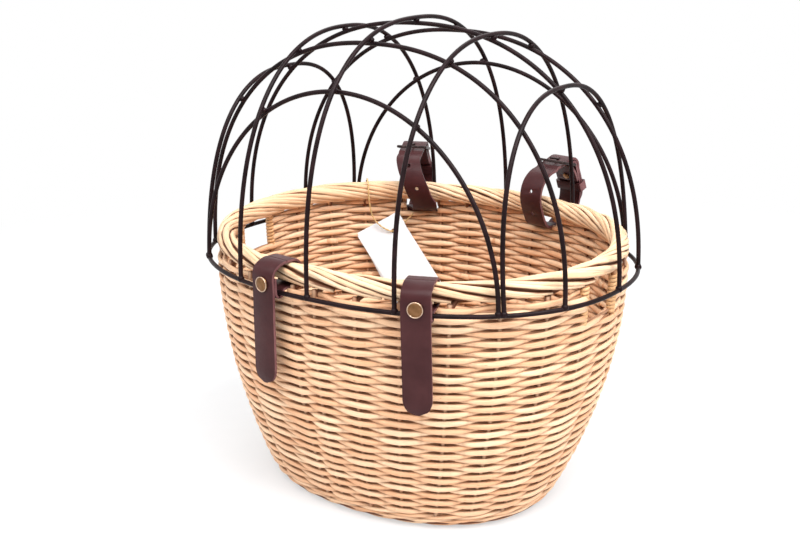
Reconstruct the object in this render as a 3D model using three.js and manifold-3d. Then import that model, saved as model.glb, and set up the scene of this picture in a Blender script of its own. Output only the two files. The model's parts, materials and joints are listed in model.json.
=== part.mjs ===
// Wicker pet basket with a wire dome, for a handlebar: willow body, hoop and arches of welded wire,
// two front straps with press-studs, two rear straps with buckles, and a swing tag.
// Millimetres, +Z up, front at -Y. The origin lies on the underside, below the middle of the hoop.
import * as THREE from 'three';
import { mergeVertices } from 'three/addons/utils/BufferGeometryUtils.js';
import Module from 'manifold-3d';

const wasm = await Module();
wasm.setup();

// Running gap between pieces that touch on the real basket
const GAP = 0.35;

// Willow body: half widths of the outer face at the rim and at the foot
const RIM_HALF_WIDTH = 197;
const RIM_HALF_DEPTH = 154.5;
const RIM_ROUNDNESS = 2.2;
const RIM_TOP = 243;
const REAR_RISE = 6;
const BELLY_SWELL_SIDES = 4.8;
const BELLY_SWELL_FRONT = 9.5;
const BELLY_HALF_WIDTH = RIM_HALF_WIDTH + BELLY_SWELL_SIDES;
const BELLY_HALF_DEPTH = RIM_HALF_DEPTH + BELLY_SWELL_FRONT;
const FOOT_HALF_WIDTH = 139.5;
const FOOT_HALF_DEPTH = 106;
const FOOT_FORWARD = 12;
const FOOT_RADIUS = 12;
const WALL_THICKNESS = 8;
const BASE_THICKNESS = 10;
const WALE_WIDTH = 9;
const WALE_HEIGHT = 15.2;

// Stakes stand evenly from one hand-hole to the other, 14 to the front run and 15 to the rear one
const FRONT_STAKES = 13;
const REAR_STAKES = 15;
const STAKES = FRONT_STAKES + REAR_STAKES;
const WEAVE_BANDS = 24;
const WEAVE_RELIEF = 2.4;
const BASE_RINGS = 3;
const BASE_RELIEF = 1.6;

// Rolled border: four rods that twist round the rim, one stroke to each stake
const BORDER_WIDTH = 17;
const BORDER_HEIGHT = 20;
const BORDER_PROUD = 1;
const BORDER_RODS = 4;
const ROD_RELIEF = 0.1;

// Hand-holes at both ends, with a bound rod at each side
const HAND_HOLE_LENGTH = 40;
const HAND_HOLE_DEPTH = 51;
const HAND_HOLE_FLOOR = RIM_TOP - HAND_HOLE_DEPTH;
const HAND_HOLE_FORWARD = 10.5;
const BINDING_DIAMETER = 8;
const BINDING_TURNS = 6;

// Welded wire: the hoop's centre line lies below the front of the border and out from the willow
const WIRE = 4;
const HOOP_DROP = 9;
const HOOP_ROOM_SIDES = 8;
const HOOP_ROOM_FRONT = 7.5;
const HOOP_HEIGHT = RIM_TOP - BORDER_HEIGHT - HOOP_DROP;
const HOOP_HALF_WIDTH = RIM_HALF_WIDTH + HOOP_ROOM_SIDES;
const HOOP_HALF_DEPTH = RIM_HALF_DEPTH + HOOP_ROOM_FRONT;
const HOOP_ROUNDNESS = 2.23;
const CORNER_SPREAD = 2.3;

// Arches that run front to rear, over the others: place across, height, fullness, lean inwards
const MIDDLE_LENGTHWISE = { place: 0, rise: 217, fullness: 2.45, lean: 0 };
const SIDE_LENGTHWISE = { place: 82, rise: 206.2, fullness: 2.32, lean: 0.7 };
const END_LENGTHWISE = { place: 157.3, rise: 166.7, fullness: 2.51, lean: 3.9 };
// Arches that run left to right, under the others: place along, height, fullness, lean inwards
const MIDDLE_CROSSWISE = { place: 0, rise: 212.2, fullness: 2.24, lean: 0 };
const SIDE_CROSSWISE = { place: 69.1, rise: 200.4, fullness: 2.25, lean: 0.9 };
const END_CROSSWISE = { place: 112.8, rise: 165.2, fullness: 1.98, lean: 0.4 };

// Leather straps
const STRAP_WIDTH = 25;
const LEATHER = 2.4;
const FRONT_STRAP_PLACES = { left: -41.5, right: 97.5 };
const TAIL_ASKEW = { left: -7, right: 0 };
const TAIL_DROP = 85;
const TAB_RISE = 13;
const TAIL_TIP_HEIGHT = HOOP_HEIGHT - TAIL_DROP;
const TAB_TOP_HEIGHT = HOOP_HEIGHT + TAB_RISE;
const SLOT_MARGIN = 1.8;
const SLOT_CLEARANCE = 3.3;

// Press-studs of the front straps
const STUD_RISE = 7;
const STUD_HEIGHT = HOOP_HEIGHT + STUD_RISE;
const STUD_DIAMETER = 13.5;
const STUD_CAP = 2;
const STUD_SHANK = 4.4;
const STUD_BASE_DIAMETER = 9;
const STUD_BASE = 0.9;
const STUD_CLEARANCE = 0.3;

// Rear straps: places across where each leaves its slot inside, half way up, at its top and behind the hoop,
// and how high its holes are above the rim
const REAR_STRAPS = {
  left: { inside: -82, halfway: -85.5, top: -100.4, leg: -97.5, punches: [25, 2] },
  right: { inside: 56, halfway: 57, top: 59, leg: 53, punches: [14, -9] },
};
const REAR_SLOT_DROP = 4;
const REAR_SLOT_HEIGHT = RIM_TOP - BORDER_HEIGHT - REAR_SLOT_DROP;
const PUNCHED_HOLE = 4;
const HEEL_BAR_RISE = 35;
const FRONT_BAR_RISE = 40.4;
const HEEL_BAR = { out: 19, height: RIM_TOP + HEEL_BAR_RISE };
const FRONT_BAR = { out: -2, height: RIM_TOP + FRONT_BAR_RISE };
const BUCKLE_BAR = 2.6;
const BUCKLE_SIDE_GAP = 0.85;
const PRONG = 2.2;
const KEEPER_WIDTH = 9;
const KEEPER_LEATHER = 1.8;
const KEEPER_PLACE = 29;
const RIVET_PLACE = 14;
const FOLDED_END = 20;
const RIVET_DIAMETER = 7;
const RIVET_HEAD = 1.2;

// Swing tag
const CARD_WIDTH = 50;
const CARD_LENGTH = 92;
const CARD_TILT = 9;
const CARD = 0.8;
const CARD_HOLE = 5.5;
const CARD_HOLE_FROM_SIDE = 14;
const CARD_HOLE_FROM_TOP = 16;
const STRING = 1.8;

const WILLOW = { color: 0xe3bb87, roughness: 0.62, metalness: 0 };
const WILLOW_DARK = { color: 0xc9955c, roughness: 0.68, metalness: 0 };
const BLACK_WIRE = { color: 0x2a2324, roughness: 0.35, metalness: 0.5 };
const BROWN_LEATHER = { color: 0x4a3334, roughness: 0.5, metalness: 0 };
const OLD_BRASS = { color: 0x8a6b45, roughness: 0.4, metalness: 0.9 };
const WHITE_CARD = { color: 0xf4f3f1, roughness: 0.8, metalness: 0 };
const RAFFIA = { color: 0xdcc08c, roughness: 0.85, metalness: 0 };

const basket = new THREE.Group();

function add(name, geometry, finish, parent = basket) {
  const mesh = new THREE.Mesh(geometry, new THREE.MeshStandardMaterial(finish));
  mesh.name = name;
  parent.add(mesh);
  return mesh;
}

// Closed solids and their cuts

function plainGeometry(geometry) {
  const bare = geometry.clone();
  bare.deleteAttribute('normal');
  bare.deleteAttribute('uv');
  return mergeVertices(bare, 1e-4);
}

function toSolid(geometry) {
  const closed = plainGeometry(geometry);
  return new wasm.Manifold(new wasm.Mesh({
    numProp: 3,
    vertProperties: new Float32Array(closed.attributes.position.array),
    triVerts: new Uint32Array(closed.index.array),
  }));
}

function toGeometry(solid) {
  const mesh = solid.getMesh();
  const geometry = new THREE.BufferGeometry();
  geometry.setAttribute('position', new THREE.BufferAttribute(new Float32Array(mesh.vertProperties), 3));
  geometry.setIndex(new THREE.BufferAttribute(new Uint32Array(mesh.triVerts), 1));
  geometry.computeVertexNormals();
  return geometry;
}

function cut(geometry, ...tools) {
  let solid = toSolid(geometry);
  for (const tool of tools) {
    solid = solid.subtract(toSolid(tool));
  }
  return toGeometry(solid);
}

// A skin over matching rings of points; a hoop-like body joins its last ring to its first
function loft(rings, joined = false) {
  const around = rings[0].length;
  const positions = rings.flat().flatMap((point) => [point.x, point.y, point.z]);
  const faces = [];
  const spans = joined ? rings.length : rings.length - 1;
  for (let span = 0; span < spans; span += 1) {
    const here = span * around;
    const next = ((span + 1) % rings.length) * around;
    for (let side = 0; side < around; side += 1) {
      const after = (side + 1) % around;
      faces.push(here + side, here + after, next + after, here + side, next + after, next + side);
    }
  }
  if (!joined) {
    const last = (rings.length - 1) * around;
    for (let corner = 1; corner < around - 1; corner += 1) {
      faces.push(0, corner + 1, corner);
      faces.push(last, last + corner, last + corner + 1);
    }
  }
  const geometry = new THREE.BufferGeometry();
  geometry.setAttribute('position', new THREE.Float32BufferAttribute(positions, 3));
  geometry.setIndex(enclosedVolume(rings.flat(), faces) < 0 ? faces.reverse() : faces);
  geometry.computeVertexNormals();
  return geometry;
}

function enclosedVolume(points, faces) {
  let volume = 0;
  for (let i = 0; i < faces.length; i += 3) {
    const [a, b, c] = [points[faces[i]], points[faces[i + 1]], points[faces[i + 2]]];
    volume += a.dot(b.clone().cross(c)) / 6;
  }
  return volume;
}

// Plan curves

function superellipse(halfWidth, halfDepth, roundness, angle) {
  const power = 2 / roundness;
  const cos = Math.cos(angle);
  const sin = Math.sin(angle);
  return new THREE.Vector2(
    halfWidth * Math.sign(cos) * Math.abs(cos) ** power,
    halfDepth * Math.sign(sin) * Math.abs(sin) ** power,
  );
}

const hoopPoint = (angle) => superellipse(HOOP_HALF_WIDTH, HOOP_HALF_DEPTH, HOOP_ROUNDNESS, angle);

// Half the other plan width of the hoop, where one coordinate is given
function hoopDepthAt(x) {
  const share = 1 - (Math.abs(x) / HOOP_HALF_WIDTH) ** HOOP_ROUNDNESS;
  return HOOP_HALF_DEPTH * share ** (1 / HOOP_ROUNDNESS);
}

function hoopWidthAt(y) {
  const share = 1 - (Math.abs(y) / HOOP_HALF_DEPTH) ** HOOP_ROUNDNESS;
  return HOOP_HALF_WIDTH * share ** (1 / HOOP_ROUNDNESS);
}

const rimTopAt = (y) => RIM_TOP + REAR_RISE * (y / RIM_HALF_DEPTH);

function bezier(rim, belly, foot, t) {
  return rim * (1 - t) ** 2 + 2 * belly * t * (1 - t) + foot * t ** 2;
}

function footRounding(z) {
  if (z >= FOOT_RADIUS) {
    return 0;
  }
  return FOOT_RADIUS - Math.sqrt(FOOT_RADIUS ** 2 - (FOOT_RADIUS - z) ** 2);
}

// A point at height z, the given distance inside the body's outer face
function bodyPoint(angle, z, inset) {
  const t = THREE.MathUtils.clamp((RIM_TOP - z) / RIM_TOP, 0, 1);
  const back = inset + footRounding(z);
  const plan = superellipse(
    bezier(RIM_HALF_WIDTH, BELLY_HALF_WIDTH, FOOT_HALF_WIDTH, t) - back,
    bezier(RIM_HALF_DEPTH, BELLY_HALF_DEPTH, FOOT_HALF_DEPTH, t) - back,
    RIM_ROUNDNESS,
    angle,
  );
  return new THREE.Vector3(plan.x, plan.y - FOOT_FORWARD * t ** 2, z);
}

// Place on the rim at a given x: outer face at the rim, outward normal and tangent towards +X
function rimFrame(x, side) {
  const share = (Math.abs(x) / RIM_HALF_WIDTH) ** RIM_ROUNDNESS;
  const y = side * RIM_HALF_DEPTH * (1 - share) ** (1 / RIM_ROUNDNESS);
  const slopeX = Math.sign(x) * (Math.abs(x) / RIM_HALF_WIDTH) ** (RIM_ROUNDNESS - 1) / RIM_HALF_WIDTH;
  const slopeY = side * (Math.abs(y) / RIM_HALF_DEPTH) ** (RIM_ROUNDNESS - 1) / RIM_HALF_DEPTH;
  const normal = new THREE.Vector3(slopeX, slopeY, 0).normalize();
  const along = new THREE.Vector3(Math.abs(normal.y), -Math.sign(normal.y) * normal.x, 0);
  return { x, y, normal, along, top: rimTopAt(y) };
}

// A point beside the rim: x picks the place, out is measured from the body's outer face at the rim
function besideRim(x, side, out, z) {
  const frame = rimFrame(x, side);
  return new THREE.Vector3(x, frame.y, z).addScaledVector(frame.normal, out);
}

// How far outside the rim the hoop's centre passes a strap
function hoopOffset(x, side) {
  let near = 0;
  let far = 30;
  for (let pass = 0; pass < 40; pass += 1) {
    const middle = (near + far) / 2;
    const point = besideRim(x, side, middle, HOOP_HEIGHT);
    const inside = (Math.abs(point.x) / HOOP_HALF_WIDTH) ** HOOP_ROUNDNESS
      + (Math.abs(point.y) / HOOP_HALF_DEPTH) ** HOOP_ROUNDNESS < 1;
    if (inside) {
      near = middle;
    } else {
      far = middle;
    }
  }
  return (near + far) / 2;
}

// Willow body

const PLAN_STEPS = 72;
const WALE_MIDDLE = WALE_HEIGHT / 2 + 0.4;
const angleOf = (step, steps) => (2 * Math.PI * step) / steps;

// The base's ring of points at one height, drawn in towards its middle by a share of its size
function baseRing(z, rounding, drawnIn) {
  const middle = new THREE.Vector3(0, bodyPoint(0, WALE_MIDDLE, 0).y, z);
  return Array.from({ length: PLAN_STEPS }, (_, step) => (
    bodyPoint(angleOf(step, PLAN_STEPS), WALE_MIDDLE, WALE_WIDTH + GAP + 0.2 + rounding).setZ(z)
      .lerp(middle, drawnIn)));
}

// Rounds of weaving stand out of both faces of the base as rings with hollows between them
function makeBase() {
  const rounds = Array.from({ length: 2 * BASE_RINGS }, (_, i) => ({
    drawnIn: (i + 1) / (2 * BASE_RINGS + 1),
    depth: i % 2 === 0 ? BASE_RELIEF : 0,
  }));
  return loft([
    ...[...rounds].reverse().map(({ drawnIn, depth }) => baseRing(depth, 1.5, drawnIn)),
    baseRing(0, 1.5, 0),
    baseRing(1.5, 0, 0),
    baseRing(BASE_THICKNESS, 0, 0),
    ...rounds.map(({ drawnIn, depth }) => baseRing(BASE_THICKNESS - depth, 0, drawnIn)),
  ]);
}

// A section of rods laid side by side that turns as it goes round the basket
function twistedRing(centreAt, halfAcross, halfUp, rods, relief, turns, steps, corners) {
  const rings = [];
  for (let step = 0; step < steps; step += 1) {
    const angle = angleOf(step, steps);
    const centre = centreAt(angle);
    const ahead = centreAt(angle + 1e-3);
    const tangent = ahead.clone().sub(centre).normalize();
    const outward = new THREE.Vector3(tangent.y, -tangent.x, 0).normalize();
    const ring = [];
    for (let corner = 0; corner < corners; corner += 1) {
      const turn = angleOf(corner, corners);
      const swell = (1 + relief * Math.cos(rods * turn - turns * angle)) / (1 + relief);
      const point = centre.clone().addScaledVector(outward, halfAcross * swell * Math.cos(turn));
      point.z += halfUp * swell * Math.sin(turn);
      ring.push(point);
    }
    rings.push(ring);
  }
  return loft(rings, true);
}

function makeWale() {
  const centreAt = (angle) => bodyPoint(angle, WALE_MIDDLE, WALE_WIDTH / 2);
  return twistedRing(centreAt, WALE_WIDTH / 2, WALE_HEIGHT / 2, 3, ROD_RELIEF, STAKES, 3 * STAKES, 8);
}

function makeBorder() {
  const inset = BORDER_WIDTH / 2 - BORDER_PROUD;
  const centreAt = (angle) => {
    const plan = superellipse(RIM_HALF_WIDTH - inset, RIM_HALF_DEPTH - inset, RIM_ROUNDNESS, angle);
    return new THREE.Vector3(plan.x, plan.y, rimTopAt(plan.y) - BORDER_HEIGHT / 2);
  };
  return twistedRing(
    centreAt, BORDER_WIDTH / 2, BORDER_HEIGHT / 2, BORDER_RODS, ROD_RELIEF, STAKES, 4 * STAKES, 10);
}

const WALL_FOOT = WALE_HEIGHT + 0.4 + GAP;
const BORDER_SEAT = 0.7;

// The angle where the body passes a place y at one end
function endAngle(y, side) {
  const turn = Math.asin(Math.sign(y) * (Math.abs(y) / RIM_HALF_DEPTH) ** (RIM_ROUNDNESS / 2));
  return side > 0 ? turn : Math.PI - turn;
}

// Angles that part a run of the body into even lengths, its ends included
function evenAngles(start, end, count) {
  const samples = Array.from({ length: 400 }, (_, i) => THREE.MathUtils.lerp(start, end, i / 399));
  const travel = [0];
  for (let i = 1; i < samples.length; i += 1) {
    const step = bodyPoint(samples[i], HOOP_HEIGHT, 0).distanceTo(bodyPoint(samples[i - 1], HOOP_HEIGHT, 0));
    travel.push(travel[i - 1] + step);
  }
  return Array.from({ length: count }, (_, i) => {
    const goal = (travel.at(-1) * i) / (count - 1);
    return samples[Math.max(travel.findIndex((length) => length >= goal - 1e-6), 0)];
  });
}

// Stakes, with a place midway between neighbours; odd places lie between stakes
function weavePlaces() {
  const reach = (HAND_HOLE_LENGTH + BINDING_DIAMETER) / 2;
  const [front, rear] = [-HAND_HOLE_FORWARD - reach, -HAND_HOLE_FORWARD + reach];
  const rearRun = evenAngles(endAngle(rear, 1), endAngle(rear, -1), 2 * REAR_STAKES - 1);
  const frontRun = evenAngles(endAngle(front, -1), endAngle(front, 1) + 2 * Math.PI, 2 * FRONT_STAKES - 1);
  const middles = [Math.PI - endAngle(-HAND_HOLE_FORWARD, 1), endAngle(-HAND_HOLE_FORWARD, 1)];
  return [...rearRun, middles[0], ...frontRun, middles[1] + 2 * Math.PI];
}

function wallHeight(angle, share) {
  const rimY = bodyPoint(angle, RIM_TOP, 0).y;
  const top = rimTopAt(rimY) - BORDER_HEIGHT - BORDER_SEAT;
  return THREE.MathUtils.lerp(WALL_FOOT, top, share);
}

function boxAt(centre, xAxis, sizeX, sizeY, sizeZ) {
  const yAxis = new THREE.Vector3(0, 0, 1).cross(xAxis);
  const box = new THREE.BoxGeometry(sizeX, sizeY, sizeZ);
  const place = new THREE.Matrix4().makeBasis(xAxis, yAxis, new THREE.Vector3(0, 0, 1));
  place.setPosition(centre);
  return box.applyMatrix4(place);
}

// A notch in the wall's top edge, open up to the border
function strapSlot(x, side, floor, width) {
  const height = 2 * BORDER_HEIGHT;
  const frame = rimFrame(x, side);
  const centre = besideRim(x, side, -WALL_THICKNESS / 2, floor + height / 2);
  return boxAt(centre, frame.along, width, 3 * WALL_THICKNESS, height);
}

function handHole(side) {
  const length = HAND_HOLE_LENGTH + 2 * (BINDING_DIAMETER + GAP);
  const height = 2 * BORDER_HEIGHT;
  const centre = new THREE.Vector3(
    side * (RIM_HALF_WIDTH - WALL_THICKNESS / 2),
    -HAND_HOLE_FORWARD,
    HAND_HOLE_FLOOR + height / 2,
  );
  return boxAt(centre, new THREE.Vector3(1, 0, 0), 4 * WALL_THICKNESS, length, height);
}

// The leather's middle line round the hoop, and where it turns towards its slot
const HOOP_WRAP = WIRE / 2 + 0.8 + LEATHER / 2;
const WRAP_HEIGHT = HOOP_HEIGHT - 0.5;
const BORDER_WRAP = 0.45 + LEATHER / 2;
const SLOT_TURN = 2.2;
const FRONT_SLOT_FLOOR = WRAP_HEIGHT + SLOT_TURN - LEATHER / 2 - SLOT_CLEARANCE;
const REAR_SLOT_FLOOR = REAR_SLOT_HEIGHT - LEATHER / 2 - SLOT_CLEARANCE;

// The weavers pass outside each stake in one band and inside it in the next
function makeWall() {
  const bands = Array.from({ length: WEAVE_BANDS + 1 }, (_, band) => band);
  const rings = weavePlaces().map((angle, place) => {
    const drawnIn = bands.map((band) => {
      if (place % 2 === 1) {
        return WEAVE_RELIEF / 2;
      }
      return (place / 2 + band) % 2 === 0 ? 0 : WEAVE_RELIEF;
    });
    const height = (band) => wallHeight(angle, band / WEAVE_BANDS);
    const outer = bands.map((band) => bodyPoint(angle, height(band), drawnIn[band]));
    const inner = bands.map((band) => (
      bodyPoint(angle, height(band), WALL_THICKNESS - WEAVE_RELIEF + drawnIn[band])));
    return [...outer, ...inner.reverse()];
  });
  const frontSlots = Object.values(FRONT_STRAP_PLACES).map((x) => (
    strapSlot(x, -1, FRONT_SLOT_FLOOR, STRAP_WIDTH + 2 * SLOT_MARGIN)));
  const rearSlots = Object.values(REAR_STRAPS).map((strap) => {
    const middle = (strap.inside + strap.leg) / 2;
    const width = STRAP_WIDTH + 2 * SLOT_MARGIN + 0.6 * Math.abs(strap.inside - strap.leg);
    return strapSlot(middle, 1, REAR_SLOT_FLOOR, width);
  });
  return cut(loft(rings, true), handHole(-1), handHole(1), ...frontSlots, ...rearSlots);
}

// The rod at the side of a hand-hole, bound with a split willow
function makeBinding(side, y) {
  const foot = HAND_HOLE_FLOOR + GAP;
  const top = rimTopAt(y) - BORDER_HEIGHT - BORDER_SEAT;
  const share = (Math.abs(y) / RIM_HALF_DEPTH) ** RIM_ROUNDNESS;
  const wallX = RIM_HALF_WIDTH * (1 - share) ** (1 / RIM_ROUNDNESS) - WALL_THICKNESS / 2;
  const turn = (top - foot) / BINDING_TURNS;
  const profile = [new THREE.Vector2(0, 0)];
  for (let wrap = 0; wrap < BINDING_TURNS; wrap += 1) {
    profile.push(new THREE.Vector2(BINDING_DIAMETER / 2 - 0.7, wrap * turn));
    profile.push(new THREE.Vector2(BINDING_DIAMETER / 2, (wrap + 0.5) * turn));
  }
  profile.push(new THREE.Vector2(BINDING_DIAMETER / 2 - 0.7, top - foot));
  profile.push(new THREE.Vector2(0, top - foot));
  const binding = new THREE.LatheGeometry(profile, 8);
  binding.rotateX(Math.PI / 2);
  return binding.translate(side * wallX, y, foot);
}

// Welded wire dome

class ArchCurve extends THREE.Curve {
  // A leaning superellipse between two feet on the hoop
  constructor(halfSpan, arch, place, crosswise) {
    super();
    Object.assign(this, { halfSpan, arch, place, crosswise });
  }

  getPoint(t) {
    const angle = Math.PI * t;
    const power = 2 / this.arch.fullness;
    const foot = HOOP_HEIGHT + WIRE / 2 + GAP;
    const run = -this.halfSpan * Math.sign(Math.cos(angle)) * Math.abs(Math.cos(angle)) ** power;
    const slant = (this.arch.rise - WIRE / 2 - GAP) * Math.abs(Math.sin(angle)) ** power;
    const lean = THREE.MathUtils.degToRad(this.arch.lean);
    const side = this.place - Math.sign(this.place) * slant * Math.sin(lean);
    const z = foot + slant * Math.cos(lean);
    return this.crosswise ? new THREE.Vector3(run, side, z) : new THREE.Vector3(side, run, z);
  }
}

function roundSection(diameter, sides) {
  const corners = Array.from({ length: sides }, (_, side) => {
    const angle = angleOf(side + 0.5, sides);
    return new THREE.Vector2(Math.cos(angle), Math.sin(angle)).multiplyScalar(diameter / 2);
  });
  return new THREE.Shape(corners);
}

function tubeAlong(curve, diameter, steps, sides = 8) {
  return plainGeometry(new THREE.ExtrudeGeometry(
    roundSection(diameter, sides),
    { steps, extrudePath: curve, bevelEnabled: false },
  ));
}

// The corner wires stand side by side on the hoop, a little either side of the corner's middle
function cornerFoot(arch, crosswise) {
  if (crosswise) {
    const x = hoopWidthAt(arch.place);
    const slope = new THREE.Vector2(hoopWidthAt(arch.place + 1) - x, 1).normalize();
    return { halfSpan: x + CORNER_SPREAD * slope.x, place: arch.place + CORNER_SPREAD * slope.y };
  }
  const y = hoopDepthAt(arch.place);
  const slope = new THREE.Vector2(1, hoopDepthAt(arch.place + 1) - y).normalize();
  return { halfSpan: y + CORNER_SPREAD * slope.y, place: arch.place + CORNER_SPREAD * slope.x };
}

function makeArch(arch, side, crosswise) {
  let { place } = arch;
  let halfSpan = crosswise ? hoopWidthAt(place) : hoopDepthAt(place);
  if (arch === END_CROSSWISE || arch === END_LENGTHWISE) {
    ({ halfSpan, place } = cornerFoot(arch, crosswise));
  }
  return tubeAlong(new ArchCurve(halfSpan, arch, side * place, crosswise), WIRE, 24);
}

function makeHoop() {
  const steps = 68;
  const sides = 8;
  const rings = Array.from({ length: steps }, (_, step) => {
    const angle = angleOf(step, steps);
    const centre = hoopPoint(angle);
    const tangent = hoopPoint(angle + 1e-3).sub(centre).normalize();
    return Array.from({ length: sides }, (_, side) => {
      const turn = angleOf(side + 0.5, sides);
      const out = (WIRE / 2) * Math.cos(turn);
      return new THREE.Vector3(
        centre.x + tangent.y * out,
        centre.y - tangent.x * out,
        HOOP_HEIGHT + (WIRE / 2) * Math.sin(turn),
      );
    });
  });
  return loft(rings, true);
}

// Leather

const point2 = (out, height) => new THREE.Vector2(out, height);

// Points on an arc; angles in degrees, counted from outward towards up
function arcPoints(out, height, radius, start, end, count) {
  return Array.from({ length: count }, (_, i) => {
    const angle = THREE.MathUtils.degToRad(THREE.MathUtils.lerp(start, end, i / (count - 1)));
    return point2(out + radius * Math.cos(angle), height + radius * Math.sin(angle));
  });
}

// A flat strap along a smooth line; widths are shares of the full width, from start to end
function strapBody(points, across, spacing, widthAt = () => 1) {
  const curve = new THREE.CatmullRomCurve3(points, false, 'centripetal');
  const steps = Math.round(curve.getLength() / spacing);
  const rings = Array.from({ length: steps + 1 }, (_, step) => {
    const share = step / steps;
    const centre = curve.getPointAt(share);
    const tangent = curve.getTangentAt(share);
    const face = tangent.clone().cross(across).normalize();
    const half = (STRAP_WIDTH / 2) * widthAt(share * curve.getLength(), curve.getLength());
    return [[-1, -1], [1, -1], [1, 1], [-1, 1]].map(([w, t]) => (
      centre.clone().addScaledVector(across, w * half).addScaledVector(face, (t * LEATHER) / 2)));
  });
  return { geometry: loft(rings), curve };
}

// The rounded, slightly pointed end of a strap, over the last stretch of its length
const TIP_LENGTH = 14;
function tipWidth(distance, length) {
  const left = Math.max(length - distance, 0) / TIP_LENGTH;
  return left >= 1 ? 1 : 0.16 + 0.84 * Math.sqrt(1 - (1 - left) ** 2);
}

function cylinderAlong(centre, axis, diameter, length, sides = 16) {
  const cylinder = new THREE.CylinderGeometry(diameter / 2, diameter / 2, length, sides);
  const turn = new THREE.Quaternion().setFromUnitVectors(new THREE.Vector3(0, 1, 0), axis);
  return cylinder.applyQuaternion(turn).translate(centre.x, centre.y, centre.z);
}

function lathedAlong(profile, centre, axis, sides) {
  const body = new THREE.LatheGeometry(profile, sides);
  const turn = new THREE.Quaternion().setFromUnitVectors(new THREE.Vector3(0, 1, 0), axis);
  return body.applyQuaternion(turn).translate(centre.x, centre.y, centre.z);
}

function frontStrap(name, x) {
  const side = -1;
  const frame = rimFrame(x, side);
  const hoopOut = hoopOffset(x, side);
  const top = frame.top + BORDER_WRAP;
  const inner = BORDER_PROUD - BORDER_WIDTH - BORDER_WRAP - 0.45;
  const hingeOut = -2;
  const place = (points) => points.map((p) => besideRim(x, side, p.x, p.y));

  // Under the hoop, up between hoop and wall, in through the slot, up inside and over the border
  const slotOut = hoopOut - HOOP_WRAP - SLOT_TURN;
  const slotHeight = WRAP_HEIGHT + SLOT_TURN;
  const fixed = [
    ...arcPoints(hoopOut, WRAP_HEIGHT, HOOP_WRAP, -98, -180, 6),
    ...arcPoints(slotOut, WRAP_HEIGHT, SLOT_TURN, 0, 90, 5).slice(1),
    point2(-5, slotHeight),
    ...arcPoints(inner + 4.5, slotHeight + 4.5, 4.5, -90, -180, 5),
    ...arcPoints(inner + 8, frame.top - 6.5, 8, 180, 90, 7),
    point2(hingeOut, top),
  ];
  add(`front_strap_${name}`, strapBody(place(fixed), frame.along, 2.2).geometry, BROWN_LEATHER);

  // The short end turns up in front of the hoop
  const tabOut = hoopOut + HOOP_WRAP;
  const tab = [
    ...arcPoints(hoopOut, WRAP_HEIGHT, HOOP_WRAP, -84, 0, 6),
    point2(tabOut, HOOP_HEIGHT + 4),
    point2(tabOut, TAB_TOP_HEIGHT),
  ];
  const studAxis = frame.normal;
  const tabHole = cylinderAlong(
    besideRim(x, side, tabOut, STUD_HEIGHT), studAxis, STUD_SHANK + 2 * STUD_CLEARANCE, 2 * LEATHER);
  const tabGeometry = cut(strapBody(place(tab), frame.along, 2.4).geometry, tabHole);
  add(`front_tab_${name}`, tabGeometry, BROWN_LEATHER);

  // The long tail starts on top of the border and hangs in front of the hoop
  const tailOut = tabOut + LEATHER + GAP;
  const tail = [
    point2(hingeOut + 0.45, top),
    point2(3, top - 0.5),
    point2(8.5, top - 2.6),
    point2(tailOut - 1.6, top - 6),
    point2(tailOut, TAB_TOP_HEIGHT + 1.5),
    point2(tailOut, STUD_HEIGHT),
    point2(tailOut, HOOP_HEIGHT),
    point2(tailOut - 1.2, HOOP_HEIGHT - 0.28 * TAIL_DROP),
    point2(tailOut - 3.2, HOOP_HEIGHT - 0.66 * TAIL_DROP),
    point2(tailOut - 4.6, TAIL_TIP_HEIGHT),
  ];
  const tailHole = cylinderAlong(
    besideRim(x, side, tailOut, STUD_HEIGHT), studAxis, STUD_SHANK + 2 * STUD_CLEARANCE, 2 * LEATHER);
  // Below the stud it hangs a little to one side
  const askew = (p) => TAIL_ASKEW[name] * Math.max(0, (HOOP_HEIGHT - p.y) / TAIL_DROP);
  const tailLine = place(tail).map((p, i) => p.addScaledVector(frame.along, askew(tail[i]) * Math.sign(frame.along.x)));
  const tailGeometry = cut(strapBody(tailLine, frame.along, 3, tipWidth).geometry, tailHole);
  add(`front_tail_${name}`, tailGeometry, BROWN_LEATHER);

  // Press-stud: the cap's shank fills the tail, the post's shank fills the tab
  const capSeat = LEATHER / 2 + 0.5;
  const capProfile = [
    point2(0, -LEATHER / 2 + 0.1),
    point2(STUD_SHANK / 2, -LEATHER / 2 + 0.1),
    point2(STUD_SHANK / 2, capSeat),
    point2(STUD_DIAMETER / 2, capSeat),
    point2(STUD_DIAMETER / 2, capSeat + 0.8),
    point2(STUD_DIAMETER / 2 - 1, capSeat + STUD_CAP * 0.75),
    point2(STUD_DIAMETER / 4, capSeat + STUD_CAP),
    point2(0, capSeat + STUD_CAP),
  ];
  const capCentre = besideRim(x, side, tailOut, STUD_HEIGHT);
  add(`stud_cap_${name}`, lathedAlong(capProfile, capCentre, studAxis, 18), OLD_BRASS);
  const postProfile = [
    point2(0, -LEATHER / 2 - GAP - STUD_BASE),
    point2(STUD_BASE_DIAMETER / 2, -LEATHER / 2 - GAP - STUD_BASE),
    point2(STUD_BASE_DIAMETER / 2, -LEATHER / 2 - GAP),
    point2(STUD_SHANK / 2, -LEATHER / 2 - GAP),
    point2(STUD_SHANK / 2, LEATHER / 2 - 0.1),
    point2(0, LEATHER / 2 - 0.1),
  ];
  const postCentre = besideRim(x, side, tabOut, STUD_HEIGHT);
  add(`stud_post_${name}`, lathedAlong(postProfile, postCentre, studAxis, 16), OLD_BRASS);
}

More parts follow.
